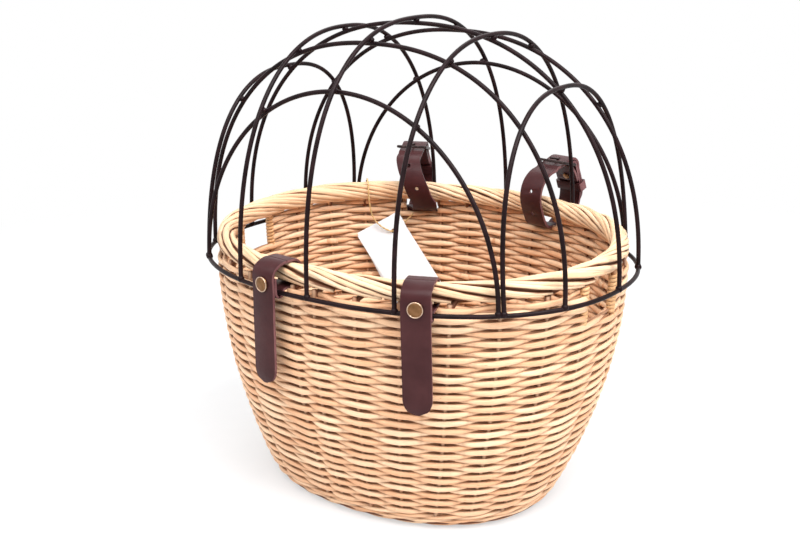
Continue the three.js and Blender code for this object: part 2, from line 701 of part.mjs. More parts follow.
// The leg behind the hoop, midway between its two layers, from the heel bar down
const LEG_LINE = new THREE.SplineCurve([
  point2(HEEL_BAR.out, HEEL_BAR.height),
  point2(26, RIM_TOP + 27.5),
  point2(32, RIM_TOP + 18),
  point2(36.5, RIM_TOP + 6.5),
  point2(38, RIM_TOP - 5),
  point2(36, RIM_TOP - 15.5),
]);
const LEG_LENGTH = LEG_LINE.getLength();
const CLEAR_OF_BUCKLE = 10;
const CURL = BUCKLE_BAR / 2 + 0.75 + LEATHER / 2;
const LAYER = LEATHER + 0.45;

function legDirection(distance) {
  const down = LEG_LINE.getTangentAt(distance / LEG_LENGTH);
  return { down, outward: point2(-down.y, down.x) };
}

function legPoint(distance, offset) {
  return LEG_LINE.getPointAt(distance / LEG_LENGTH).addScaledVector(legDirection(distance).outward, offset);
}

function rearStrap(name, strap) {
  const side = 1;
  const frame = rimFrame((strap.top + strap.leg) / 2, side);
  const hoopOut = hoopOffset(strap.leg, side);
  const place = (x, p) => besideRim(x, side, p.x, p.y);
  const toWorld = (p) => frame.normal.clone().multiplyScalar(p.x).setZ(p.y);
  const heel = point2(HEEL_BAR.out, HEEL_BAR.height);
  const line = [];
  const pass = (x, ...points) => points.forEach((p) => line.push(place(x, p)));
  const sideways = (distance) => Math.max(0, distance - CLEAR_OF_BUCKLE) / (LEG_LENGTH - CLEAR_OF_BUCKLE);
  const legPlace = (distance) => THREE.MathUtils.lerp(strap.top, strap.leg, sideways(distance));
  const passLeg = (...stops) => stops.forEach(([distance, offset]) => (
    pass(legPlace(distance), legPoint(distance, offset))));

  // The folded end inside, the curl round the heel bar, and the inner layer of the leg
  passLeg([FOLDED_END, -1.5 * LAYER], [RIVET_PLACE, -1.5 * LAYER], [7, -1.35 * LAYER], [0.1, -CURL]);
  const { down, outward } = legDirection(0);
  pass(strap.top, ...[-45, -90, -135].map((turn) => {
    const angle = THREE.MathUtils.degToRad(turn);
    return heel.clone().addScaledVector(outward, -CURL * Math.cos(angle))
      .addScaledVector(down, CURL * Math.sin(angle));
  }));
  passLeg([0.1, CURL], [7, 0.1 * LAYER], [RIVET_PLACE, -0.5 * LAYER], [22, -0.5 * LAYER]);
  passLeg([32, -0.5 * LAYER], [44, -0.5 * LAYER], [54, -0.5 * LAYER]);
  pass(strap.leg, point2(30.6, HOOP_HEIGHT + 6.5));
  pass(strap.leg, point2(22.6, HOOP_HEIGHT + 0.4), point2(15.6, HOOP_HEIGHT - 3.4));
  pass(strap.leg, ...arcPoints(hoopOut - 0.15, WRAP_HEIGHT - 0.1, HOOP_WRAP, -90, -180, 5));
  // Up between hoop and wall, in through the slot
  const slotwards = (share) => THREE.MathUtils.lerp(strap.leg, strap.inside, share);
  const slotOut = hoopOut - HOOP_WRAP - SLOT_TURN;
  pass(slotwards(0.05), point2(slotOut + SLOT_TURN, REAR_SLOT_HEIGHT - SLOT_TURN));
  pass(slotwards(0.2), point2(slotOut, REAR_SLOT_HEIGHT));
  pass(slotwards(0.5), point2(-5, REAR_SLOT_HEIGHT));
  pass(slotwards(0.85), point2(-12.2, REAR_SLOT_HEIGHT + 0.4));
  pass(slotwards(1), point2(-17.6, REAR_SLOT_HEIGHT + 3.4), point2(-21.6, RIM_TOP - 14));
  // Up inside, under the buckle's front bar, over its heel bar and down behind
  const upwards = (share) => THREE.MathUtils.lerp(strap.halfway, strap.top, share);
  pass(upwards(0), point2(-26, RIM_TOP - 6));
  pass(upwards(0.2), point2(-29.4, RIM_TOP + 4));
  pass(upwards(0.5), point2(-29.6, RIM_TOP + 14));
  pass(upwards(0.8), point2(-25.6, RIM_TOP + 23.5));
  pass(upwards(1), point2(-17, RIM_TOP + 30.5));

  const forward = point2(FRONT_BAR.out, FRONT_BAR.height).sub(heel).normalize();
  const lift = point2(forward.y, -forward.x);
  const barDistance = heel.distanceTo(point2(FRONT_BAR.out, FRONT_BAR.height));
  const inFrame = (f, u) => heel.clone().addScaledVector(forward, f).addScaledVector(lift, u);
  const overCurl = CURL + LAYER;
  pass(strap.top, inFrame(barDistance + 3.1, -8), inFrame(barDistance + 1.3, -5.2), inFrame(barDistance - 2, -4.1));
  pass(strap.top, inFrame(12, 0.3), inFrame(6, 4.4), inFrame(0, overCurl));
  passLeg([3.5, overCurl - 0.4], [9, 0.75 * LAYER], [15, 0.5 * LAYER], [22, 0.5 * LAYER]);
  passLeg([32, 0.5 * LAYER], [44, 0.5 * LAYER], [50, 0.5 * LAYER]);
  const { geometry, curve } = strapBody(line, frame.along, 3.3, tipWidth);

  // Prong: a ring round the heel bar, then up through the strap to rest on the front bar
  const eye = BUCKLE_BAR / 2 + 0.65 + PRONG / 2;
  const ring = [-70, -110, -150, -190, -230, -270].map((turn) => {
    const angle = THREE.MathUtils.degToRad(turn);
    return inFrame(eye * Math.cos(angle), eye * Math.sin(angle));
  });
  const tipRise = BUCKLE_BAR / 2 + 0.35 + PRONG / 2;
  const reach = [inFrame(5.5, eye), inFrame(barDistance - 4, tipRise + 0.3), inFrame(barDistance + 1.5, tipRise)];
  const prongCurve = new THREE.CatmullRomCurve3(
    [...ring, ...reach].map((p) => place(strap.top, p)), false, 'centripetal');
  const prongRoom = tubeAlong(prongCurve, PRONG + 1.2, 16, 6);

  // An opening in the curl for the prong's ring, a hole for the rivet, and the punched holes
  const heelCentre = place(strap.top, heel);
  const curlOpening = cylinderAlong(heelCentre, frame.along, 2 * eye + PRONG + 0.9, PRONG + 1.6, 12);
  const punches = strap.punches.map((rise) => {
    const centre = pointAtHeight(curve, RIM_TOP + rise);
    return cylinderAlong(centre, frame.normal, PUNCHED_HOLE, 3 * LEATHER, 10);
  });
  const rivetAxis = toWorld(legDirection(RIVET_PLACE).outward);
  const rivetCentre = place(legPlace(RIVET_PLACE), legPoint(RIVET_PLACE, -LAYER));
  const rivetHole = cylinderAlong(rivetCentre, rivetAxis, 3.4, LAYER + LEATHER + 0.6, 10);
  add(`rear_strap_${name}`, cut(geometry, curlOpening, prongRoom, rivetHole, ...punches), BROWN_LEATHER);
  add(`buckle_prong_${name}`, tubeAlong(prongCurve, PRONG, 18, 8), OLD_BRASS);

  // Buckle frame: a flat rounded rectangle whose far side carries the curl
  const halfAcross = STRAP_WIDTH / 2 + BUCKLE_SIDE_GAP + BUCKLE_BAR;
  const frameShape = roundedRectangle(2 * halfAcross, barDistance + BUCKLE_BAR, 3);
  frameShape.holes.push(roundedRectangle(2 * (halfAcross - BUCKLE_BAR), barDistance - BUCKLE_BAR, 1.2));
  const frameGeometry = new THREE.ExtrudeGeometry(frameShape, {
    depth: BUCKLE_BAR - 1,
    bevelThickness: 0.5,
    bevelSize: 0.5,
    bevelOffset: -0.5,
    bevelSegments: 1,
    curveSegments: 3,
  }).translate(0, 0, -(BUCKLE_BAR - 1) / 2);
  const across = toWorld(forward).cross(toWorld(lift));
  const basis = new THREE.Matrix4().makeBasis(across, toWorld(forward), toWorld(lift));
  basis.setPosition(place(strap.top, inFrame(barDistance / 2, 0)));
  add(`buckle_frame_${name}`, plainGeometry(frameGeometry.applyMatrix4(basis)), OLD_BRASS);

  // Keeper round both layers of the leg
  const keeperWay = legDirection(KEEPER_PLACE);
  const keeperBasis = new THREE.Matrix4().makeBasis(
    frame.along, toWorld(keeperWay.outward), frame.along.clone().cross(toWorld(keeperWay.outward)));
  keeperBasis.setPosition(place(legPlace(KEEPER_PLACE), legPoint(KEEPER_PLACE, 0)));
  add(`keeper_${name}`, makeKeeper().applyMatrix4(keeperBasis), BROWN_LEATHER);

  // Rivet through the folded end and the leg's inner layer, its head inside
  const inside = -LAYER / 2 - LEATHER / 2 - 0.35;
  const rivetProfile = [
    point2(0, inside - RIVET_HEAD),
    point2(RIVET_DIAMETER / 2 - 0.8, inside - RIVET_HEAD),
    point2(RIVET_DIAMETER / 2, inside - RIVET_HEAD / 2),
    point2(RIVET_DIAMETER / 2, inside),
    point2(1.3, inside),
    point2(1.3, LAYER / 2 + LEATHER / 2),
    point2(0, LAYER / 2 + LEATHER / 2),
  ];
  add(`rivet_${name}`, lathedAlong(rivetProfile, rivetCentre, rivetAxis, 12), OLD_BRASS);
}

// The place on the inside run of a rear strap at the given height
function pointAtHeight(curve, height) {
  const samples = Array.from({ length: 400 }, (_, i) => curve.getPointAt(0.3 + (0.4 * i) / 399));
  const rising = samples.filter((point, i) => i > 0 && point.z > samples[i - 1].z && point.z > REAR_SLOT_HEIGHT + 1);
  return rising.reduce((best, point) => (
    Math.abs(point.z - height) < Math.abs(best.z - height) ? point : best));
}

function roundedRectangle(width, height, radius) {
  const shape = new THREE.Shape();
  const x = width / 2 - radius;
  const y = height / 2 - radius;
  shape.absarc(x, y, radius, 0, Math.PI / 2);
  shape.absarc(-x, y, radius, Math.PI / 2, Math.PI);
  shape.absarc(-x, -y, radius, Math.PI, 1.5 * Math.PI);
  shape.absarc(x, -y, radius, 1.5 * Math.PI, 2 * Math.PI);
  return shape;
}

function makeKeeper() {
  const innerAcross = STRAP_WIDTH + 2.2;
  const innerDeep = LAYER + LEATHER + 1.6;
  const outer = roundedRectangle(innerAcross + 2 * KEEPER_LEATHER, innerDeep + 2 * KEEPER_LEATHER, 2);
  outer.holes.push(roundedRectangle(innerAcross, innerDeep, 0.6));
  const keeper = new THREE.ExtrudeGeometry(outer, { depth: KEEPER_WIDTH, bevelEnabled: false, curveSegments: 3 });
  return plainGeometry(keeper.translate(0, 0, -KEEPER_WIDTH / 2));
}

// Swing tag

const TAG_PLACE = { x: -117, height: 195 };

function makeCard(out, roll) {
  const shape = new THREE.Shape();
  const left = CARD_HOLE_FROM_SIDE - CARD_WIDTH;
  const right = CARD_HOLE_FROM_SIDE;
  const bottom = CARD_HOLE_FROM_TOP - CARD_LENGTH;
  shape.moveTo(left, bottom);
  shape.lineTo(right, bottom);
  shape.lineTo(right, CARD_HOLE_FROM_TOP);
  shape.lineTo(left, CARD_HOLE_FROM_TOP);
  const hole = new THREE.Path();
  hole.absarc(0, 0, CARD_HOLE / 2, 0, 2 * Math.PI);
  shape.holes.push(hole);
  const card = new THREE.ExtrudeGeometry(shape, { depth: CARD, bevelEnabled: false, curveSegments: 12 });
  card.translate(0, 0, -CARD / 2).rotateZ(THREE.MathUtils.degToRad(roll));
  const frame = rimFrame(TAG_PLACE.x, 1);
  const tilt = THREE.MathUtils.degToRad(CARD_TILT);
  const inward = frame.normal.clone().multiplyScalar(-Math.cos(tilt)).setZ(Math.sin(tilt));
  const upward = inward.clone().cross(frame.along);
  const basis = new THREE.Matrix4().makeBasis(frame.along, upward, inward);
  basis.setPosition(besideRim(TAG_PLACE.x, 1, out, TAG_PLACE.height));
  return plainGeometry(card.applyMatrix4(basis));
}

// The string's route: x along the rear rim, distance out of the rim's outer face, height
const STRING_ROUTE = [
  [-143, 3.2, 224],
  [-143.2, 3.4, 233],
  [-143, 1.6, 242],
  [-142.4, -3.4, 248.4],
  [-142, -9, 249.4],
  [-141.6, -15, 247.2],
  [-141.4, -18.2, 241],
  [-141, -18.9, 232],
  [-140, -18.2, 222],
  [-138.4, -17.2, 213],
  [-134, -18, 205],
  [-127, -18.4, 199],
  [-120.8, -18.2, 196],
  [-118, -17.2, 195.3],
  [-117, -15.1, 195],
  [-116, -13, 195.3],
  [-113, -12, 197],
  [-108, -11, 202],
  [-102, -10.4, 208.5],
  [-97.2, -10.4, 213.6],
];

function makeString() {
  const points = STRING_ROUTE.map(([x, out, z]) => besideRim(x, 1, out, z));
  return tubeAlong(new THREE.CatmullRomCurve3(points, false, 'centripetal'), STRING, 36, 8);
}

add('base', makeBase(), WILLOW);
add('upset_wale', makeWale(), WILLOW);
add('wall', makeWall(), WILLOW);
add('border', makeBorder(), WILLOW);
for (const [name, side] of [['left', -1], ['right', 1]]) {
  const reach = (HAND_HOLE_LENGTH + BINDING_DIAMETER) / 2;
  add(`binding_${name}_front`, makeBinding(side, -HAND_HOLE_FORWARD - reach), WILLOW_DARK);
  add(`binding_${name}_rear`, makeBinding(side, -HAND_HOLE_FORWARD + reach), WILLOW_DARK);
}

const dome = new THREE.Group();
basket.add(dome);
add('hoop', makeHoop(), BLACK_WIRE, dome);
add('arch_lengthwise_middle', makeArch(MIDDLE_LENGTHWISE, 1, false), BLACK_WIRE, dome);
add('arch_crosswise_middle', makeArch(MIDDLE_CROSSWISE, 1, true), BLACK_WIRE, dome);
for (const [name, side] of [['left', -1], ['right', 1]]) {
  add(`arch_lengthwise_${name}`, makeArch(SIDE_LENGTHWISE, side, false), BLACK_WIRE, dome);
  add(`arch_end_${name}`, makeArch(END_LENGTHWISE, side, false), BLACK_WIRE, dome);
}
for (const [name, side] of [['front', -1], ['rear', 1]]) {
  add(`arch_crosswise_${name}`, makeArch(SIDE_CROSSWISE, side, true), BLACK_WIRE, dome);
  add(`arch_corner_${name}`, makeArch(END_CROSSWISE, side, true), BLACK_WIRE, dome);
}

for (const [name, x] of Object.entries(FRONT_STRAP_PLACES)) {
  frontStrap(name, x);
}
for (const [name, strap] of Object.entries(REAR_STRAPS)) {
  rearStrap(name, strap);
}

add('tag_card_front', makeCard(-15.8, 33), WHITE_CARD);
add('tag_card_back', makeCard(-14.3, 29), WHITE_CARD);
add('tag_string', makeString(), RAFFIA);

export default basket;
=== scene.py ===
"""Wicker pet basket: woven willow, a welded wire dome, leather straps, brass studs and a swing tag."""
import json
import math
import random

import bpy
import numpy as np
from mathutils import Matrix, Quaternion, Vector


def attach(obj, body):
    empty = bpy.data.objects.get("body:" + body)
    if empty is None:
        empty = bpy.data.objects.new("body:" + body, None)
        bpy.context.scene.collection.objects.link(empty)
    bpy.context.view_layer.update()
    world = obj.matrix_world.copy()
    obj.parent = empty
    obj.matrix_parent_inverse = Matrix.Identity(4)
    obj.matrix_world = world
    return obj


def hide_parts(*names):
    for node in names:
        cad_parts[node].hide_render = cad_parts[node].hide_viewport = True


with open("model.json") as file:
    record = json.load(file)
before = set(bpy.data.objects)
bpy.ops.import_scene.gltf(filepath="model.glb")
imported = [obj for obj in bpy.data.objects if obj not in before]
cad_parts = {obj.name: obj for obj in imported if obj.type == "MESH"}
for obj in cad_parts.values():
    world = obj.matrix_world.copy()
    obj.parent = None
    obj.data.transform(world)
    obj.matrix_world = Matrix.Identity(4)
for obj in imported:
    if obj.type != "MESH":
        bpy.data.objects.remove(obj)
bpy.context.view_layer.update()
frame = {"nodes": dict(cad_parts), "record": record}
chance = random.Random(11)

MM = 0.001

# Basket body, in millimetres
RIM_X = 197.0
RIM_Y = 154.5
ROUNDNESS = 2.2
RIM_TOP = 243.0
REAR_RISE = 6.0
BELLY_X = 201.8
BELLY_Y = 164.0
FOOT_X = 139.5
FOOT_Y = 106.0
FOOT_FORWARD = 12.0
FOOT_RADIUS = 12.0
WALL_MIDDLE = 4.0
WALL_FOOT = 16.0
WALL_DROP = 20.7
ARC_HEIGHT = 200.0
ARC_STEPS = 4001

# Where each strap lies along the rim
FRONT = -1
REAR = 1
FRONT_LEFT_X = -41.5
FRONT_RIGHT_X = 97.5
REAR_LEFT_X = -98.95
REAR_RIGHT_X = 56

# Weave
ROWS = 48
ROW_BANDS = (("low", 0, 16), ("middle", 16, 32), ("high", 32, ROWS))
ROW_WAVES = (
    {"turns": 3, "size": 0.55, "drift": 0.31, "start": 0.7},
    {"turns": 7, "size": 0.4, "drift": -0.23, "start": 2.1},
    {"turns": 13, "size": 0.28, "drift": 0.41, "start": 4.0},
    {"turns": 31, "size": 0.22, "drift": 2.4, "start": 0.0},
)
LEVEL_ROWS_AT_FOOT = 5
LEVEL_ROWS_AT_TOP = 4
FRONT_GAPS = 12
REAR_GAPS = 14
STAKE = 2.2
STAKE_CLEARANCE = 0.6
STAKE_FOOT = 9
STAKE_SHADE = 0.35
WEAVER_THICK = 1.55
CROSSING_SWELL = 0.95
CROSSING_LIGHT = 0.62
WEAVER_TALL = 2.4
WEAVER_CLEARANCE = 0.3
FLOAT_SWELL = 0.7
FLOAT_FULLNESS = 0.85
WEAVE_REACH = 2.75
WEAVE_DROOP = 0.55
WEAVE_STEP = 4.5
SHORTEST_RUN = 4
BUTT_GIRTH = 1.08
TAPER = 0.16
GIRTH_VARIES = 0.05
SPLICE_BEFORE = 5
SPLICE_BEHIND = 7
SPLICE_LENGTH = 9
SPLICE_TUCK_BEFORE = 2.0
SPLICE_TUCK_BEHIND = 0.6
# A thin rod between the rows, drawn in painted shade, stands in for the shade there.
SHADE_ROD_THICK = 0.95
SHADE_ROD_TALL = 1.35
SHADE_ROD_TONE = 0.8
SHADE_ROD_LIGHT = 0.35

# Hand-holes and their bound edges
HAND_HOLE_FLOOR = 192.0
HAND_HOLE_FRONT = -34.5
HAND_HOLE_REAR = 13.5
WRAP_PITCH = 3.4
WRAP_STEPS = 14
WRAP_RADIUS = 3.5
WRAP_THICK = 0.75
WRAP_TALL = 1.75
BOUND_CORE = 3.1
SLOTS = (
    {"x": FRONT_LEFT_X, "side": FRONT, "half": 14.3, "floor": 211.2},
    {"x": FRONT_RIGHT_X, "side": FRONT, "half": 14.3, "floor": 211.2},
    {"x": -89.75, "side": REAR, "half": 17.7, "floor": 214.5},
    {"x": 54.5, "side": REAR, "half": 14.0, "floor": 214.5},
)

# Border
BORDER_OUT = -7.5
BORDER_DROP = 10.0
BORDER_REACH_OUT = 5.8
BORDER_REACH_UP = 7.4
BORDER_ROD = 2.55
BORDER_SPAN = 5.3
BORDER_PAIR = 2
BORDER_FIRST_TURN = -70
BORDER_LAST_TURN = 232
BORDER_STEPS = 72
BORDER_LEAD = 5
BORDER_WANDER = 0.4
BORDER_WAVE = 15
# A rod in the middle of the border, drawn fully in the deep colour as painted shade, stands in for the
# shade between the rods.
BORDER_SHADE_CORE_THICK = 4.4
BORDER_SHADE_CORE_TALL = 5.9

# Foot
WALE_ROWS = (3.6, 8.4, 13.1)
WALE_TURNS = 9
WALE_STRANDS = 3
WALE_ROW_SHIFT = 0.17
WALE_RISE = 1.45
WALE_INSET = 4.6
WALE_SWING = 2.5
WALE_THICK = 1.9
WALE_TALL = 2.05
# A dark rod inside the waling, drawn in painted shade, stands in for the shade between its strands.
WALE_SHADE_ROD_INSET = 5.4
WALE_SHADE_ROD_THICK = 1.4
WALE_SHADE_ROD_TALL = 5.6
BASE_ROWS = 19
BASE_STICKS = 30
BASE_OUTLINE_Z = 8.0
BASE_INSET = 12.0
BASE_MIDDLE = 5.2
BASE_WAVE = 2.3
BASE_FIRST_ROW = 0.16
BASE_ROD_THICK = 2.5
BASE_ROD_TALL = 1.7
BASE_STICK = 1.6

# Raffia: two plies twisted round each other
PLY_PITCH = 9.0
PLY_OFFSET = 0.42
PLY_RADIUS = 0.5

# Dome
WIRE = 2.0
HOOP_X = 205.0
HOOP_Y = 162.0
HOOP_ROUNDNESS = 2.23
HOOP_Z = 214.0
HOOP_STEPS = 220
ARCH_FOOT = 216.35
ARCH_FOOT_DROP = 2.0
ARCH_STEPS = 1200
ARCH_STEP = 5.0
CORNER_PLACE = 100
CORNER_SPREAD = 2.3
CROSSING_BEAD = (2.9, 2.6)
CROSSING_REACH = 8
CROSSING_ABOVE_HOOP = 20
FOOT_BEAD = (3.1, 3.2)
FOOT_BEAD_RISE = 1.2
BEAD_ROUGH = 0.22
ARCHES = {
    "arch_lengthwise_middle": {"place": 0, "rise": 217, "fullness": 2.45, "lean": 0, "cross": False},
    "arch_lengthwise_left": {"place": -82, "rise": 206.2, "fullness": 2.32, "lean": 0.7, "cross": False},
    "arch_lengthwise_right": {"place": 82, "rise": 206.2, "fullness": 2.32, "lean": 0.7, "cross": False},
    "arch_end_left": {"place": -157.3, "rise": 166.7, "fullness": 2.51, "lean": 3.9, "cross": False},
    "arch_end_right": {"place": 157.3, "rise": 166.7, "fullness": 2.51, "lean": 3.9, "cross": False},
    "arch_crosswise_middle": {"place": 0, "rise": 212.2, "fullness": 2.24, "lean": 0, "cross": True},
    "arch_crosswise_front": {"place": -69.1, "rise": 200.4, "fullness": 2.25, "lean": 0.9, "cross": True},
    "arch_crosswise_rear": {"place": 69.1, "rise": 200.4, "fullness": 2.25, "lean": 0.9, "cross": True},
    "arch_corner_front": {"place": -112.8, "rise": 165.2, "fullness": 1.98, "lean": 0.4, "cross": True},
    "arch_corner_rear": {"place": 112.8, "rise": 165.2, "fullness": 1.98, "lean": 0.4, "cross": True},
}

# Camera, from the photograph
CAMERA_AZIMUTH = 35.35
CAMERA_ELEVATION = 16.44
CAMERA_ROLL = -0.66
CAMERA_DISTANCE = 1156.5
CAMERA_TARGET = (-20.0, 0.0, 197.3)
FOCAL_PIXELS = 1223.9
PHOTO_WIDTH = 800
SENSOR = 36.0

# Studio: directions in degrees, distances and sizes in metres, power in watts
LAMP_HEIGHT = 0.2
LAMPS = (
    {"name": "key", "azimuth": 80, "elevation": 52, "distance": 2.2, "size": 1.4, "power": 56},
    {"name": "front", "azimuth": 22, "elevation": 60, "distance": 2.2, "size": 1.4, "power": 34},
    {"name": "left", "azimuth": -40, "elevation": 48, "distance": 2.4, "size": 1.6, "power": 18},
    {"name": "rear", "azimuth": 200, "elevation": 52, "distance": 2.2, "size": 1.6, "power": 15},
)
SURROUNDING_LIGHT = 0.4
SEEN_WHITE = 1.0
FLOOR_SIZE = 12
FADE_NEAR = 0.4
FADE_FAR = 1.2
FADE_AT_BASKET = 0.55


def direction(azimuth, elevation):
    """The way from the basket to a camera or lamp; azimuth 0 is straight in front."""
    azimuth = math.radians(azimuth)
    elevation = math.radians(elevation)
    return Vector((
        math.sin(azimuth) * math.cos(elevation),
        -math.cos(azimuth) * math.cos(elevation),
        math.sin(elevation),
    ))


# Shapes of the basket

def signed_power(value, power):
    return np.sign(value) * np.abs(value) ** power


def bezier(rim, belly, foot, share):
    return rim * (1 - share) ** 2 + 2 * belly * share * (1 - share) + foot * share**2


def body_point(angle, z, inset):
    """A point of the woven body, inset from its outer surface."""
    angle, z, inset = np.broadcast_arrays(
        np.asarray(angle, float), np.asarray(z, float), np.asarray(inset, float)
    )
    share = np.clip((RIM_TOP - z) / RIM_TOP, 0, 1)
    below = np.clip(FOOT_RADIUS - z, 0, FOOT_RADIUS)
    back = inset + FOOT_RADIUS - np.sqrt(FOOT_RADIUS**2 - below**2)
    half_x = bezier(RIM_X, BELLY_X, FOOT_X, share) - back
    half_y = bezier(RIM_Y, BELLY_Y, FOOT_Y, share) - back
    x = half_x * signed_power(np.cos(angle), 2 / ROUNDNESS)
    y = half_y * signed_power(np.sin(angle), 2 / ROUNDNESS) - FOOT_FORWARD * share**2
    return np.stack([x, y, z], axis=-1)


def rim_top(y):
    return RIM_TOP + REAR_RISE * y / RIM_Y


def rim_point(angle, out, drop):
    """A point beside the rim's outline, out from it and down from its top."""
    angle, out, drop = np.broadcast_arrays(
        np.asarray(angle, float), np.asarray(out, float), np.asarray(drop, float)
    )
    x = (RIM_X + out) * signed_power(np.cos(angle), 2 / ROUNDNESS)
    y = (RIM_Y + out) * signed_power(np.sin(angle), 2 / ROUNDNESS)
    return np.stack([x, y, rim_top(y) - drop], axis=-1)


def rim_y(x, side):
    return side * RIM_Y * (1 - (abs(x) / RIM_X) ** ROUNDNESS) ** (1 / ROUNDNESS)


def rim_normal(x, side):
    y = rim_y(x, side)
    return Vector((
        math.copysign((abs(x) / RIM_X) ** (ROUNDNESS - 1) / RIM_X, x),
        math.copysign((abs(y) / RIM_Y) ** (ROUNDNESS - 1) / RIM_Y, y),
        0,
    )).normalized()


def beside_rim(x, side, out, z):
    """A point out from the rim's outline at x, along the outline's normal."""
    normal = rim_normal(x, side)
    return Vector((x + normal.x * out, rim_y(x, side) + normal.y * out, z))


# The arc is the way round the basket in millimetres, measured on the wall's outer surface
ARC_ANGLES = np.linspace(-math.pi, math.pi, ARC_STEPS)
ARC_POINTS = body_point(ARC_ANGLES, ARC_HEIGHT, 0.0)
ARCS = np.concatenate([[0], np.cumsum(np.linalg.norm(np.diff(ARC_POINTS, axis=0), axis=1))])
ROUND = ARCS[-1]


def arc_at(angle):
    return float(np.interp(angle, ARC_ANGLES, ARCS))


def angle_at(arc):
    return np.interp(np.asarray(arc, float) % ROUND, ARCS, ARC_ANGLES)


def slot_arc(slot):
    turn = math.acos(math.copysign((abs(slot["x"]) / RIM_X) ** (ROUNDNESS / 2), slot["x"]))
    return arc_at(slot["side"] * turn)


def end_arc(y, right):
    turn = math.asin(math.copysign((abs(y) / RIM_Y) ** (ROUNDNESS / 2), y))
    if right:
        return arc_at(turn)
    return arc_at(math.pi - turn) if y > 0 else arc_at(-math.pi - turn)


LEFT_FRONT = end_arc(HAND_HOLE_FRONT, False)
RIGHT_FRONT = end_arc(HAND_HOLE_FRONT, True)
RIGHT_REAR = end_arc(HAND_HOLE_REAR, True)
LEFT_REAR = end_arc(HAND_HOLE_REAR, False)
BOUND_ARCS = (LEFT_FRONT, RIGHT_FRONT, RIGHT_REAR, LEFT_REAR)


def stake_arcs():
    """Stakes stand evenly between the bound edges, and those in the way of a slot stand beside it."""
    front = np.linspace(LEFT_FRONT, RIGHT_FRONT, FRONT_GAPS + 1)
    rear = np.linspace(RIGHT_REAR, LEFT_REAR, REAR_GAPS + 1)
    arcs = np.concatenate([front, rear])
    for slot in SLOTS:
        middle = slot_arc(slot)
        clear = slot["half"] + STAKE + STAKE_CLEARANCE
        for index, arc in enumerate(arcs):
            if abs(arc - middle) < clear:
                arcs[index] = middle + math.copysign(clear, arc - middle)
    return arcs


STAKES = stake_arcs()
STAKE_COUNT = len(STAKES)
PHASE_ARCS = np.concatenate([STAKES - ROUND, STAKES, STAKES + ROUND, STAKES + 2 * ROUND])
PHASE_NUMBERS = np.arange(-STAKE_COUNT, 3 * STAKE_COUNT)


def phase_at(arc):
    """The arc counted in stakes: a whole number at each stake."""
    return np.interp(arc, PHASE_ARCS, PHASE_NUMBERS)


def arc_of_phase(phase):
    return np.interp(phase, PHASE_NUMBERS, PHASE_ARCS)


# Rods: one mesh holds many swept strands

def unit(rows):
    return rows / np.maximum(np.linalg.norm(rows, axis=1, keepdims=True), 1e-9)


def tangents(points, closed):
    if closed:
        return unit(np.roll(points, -1, axis=0) - np.roll(points, 1, axis=0))
    return unit(np.gradient(points, axis=0))


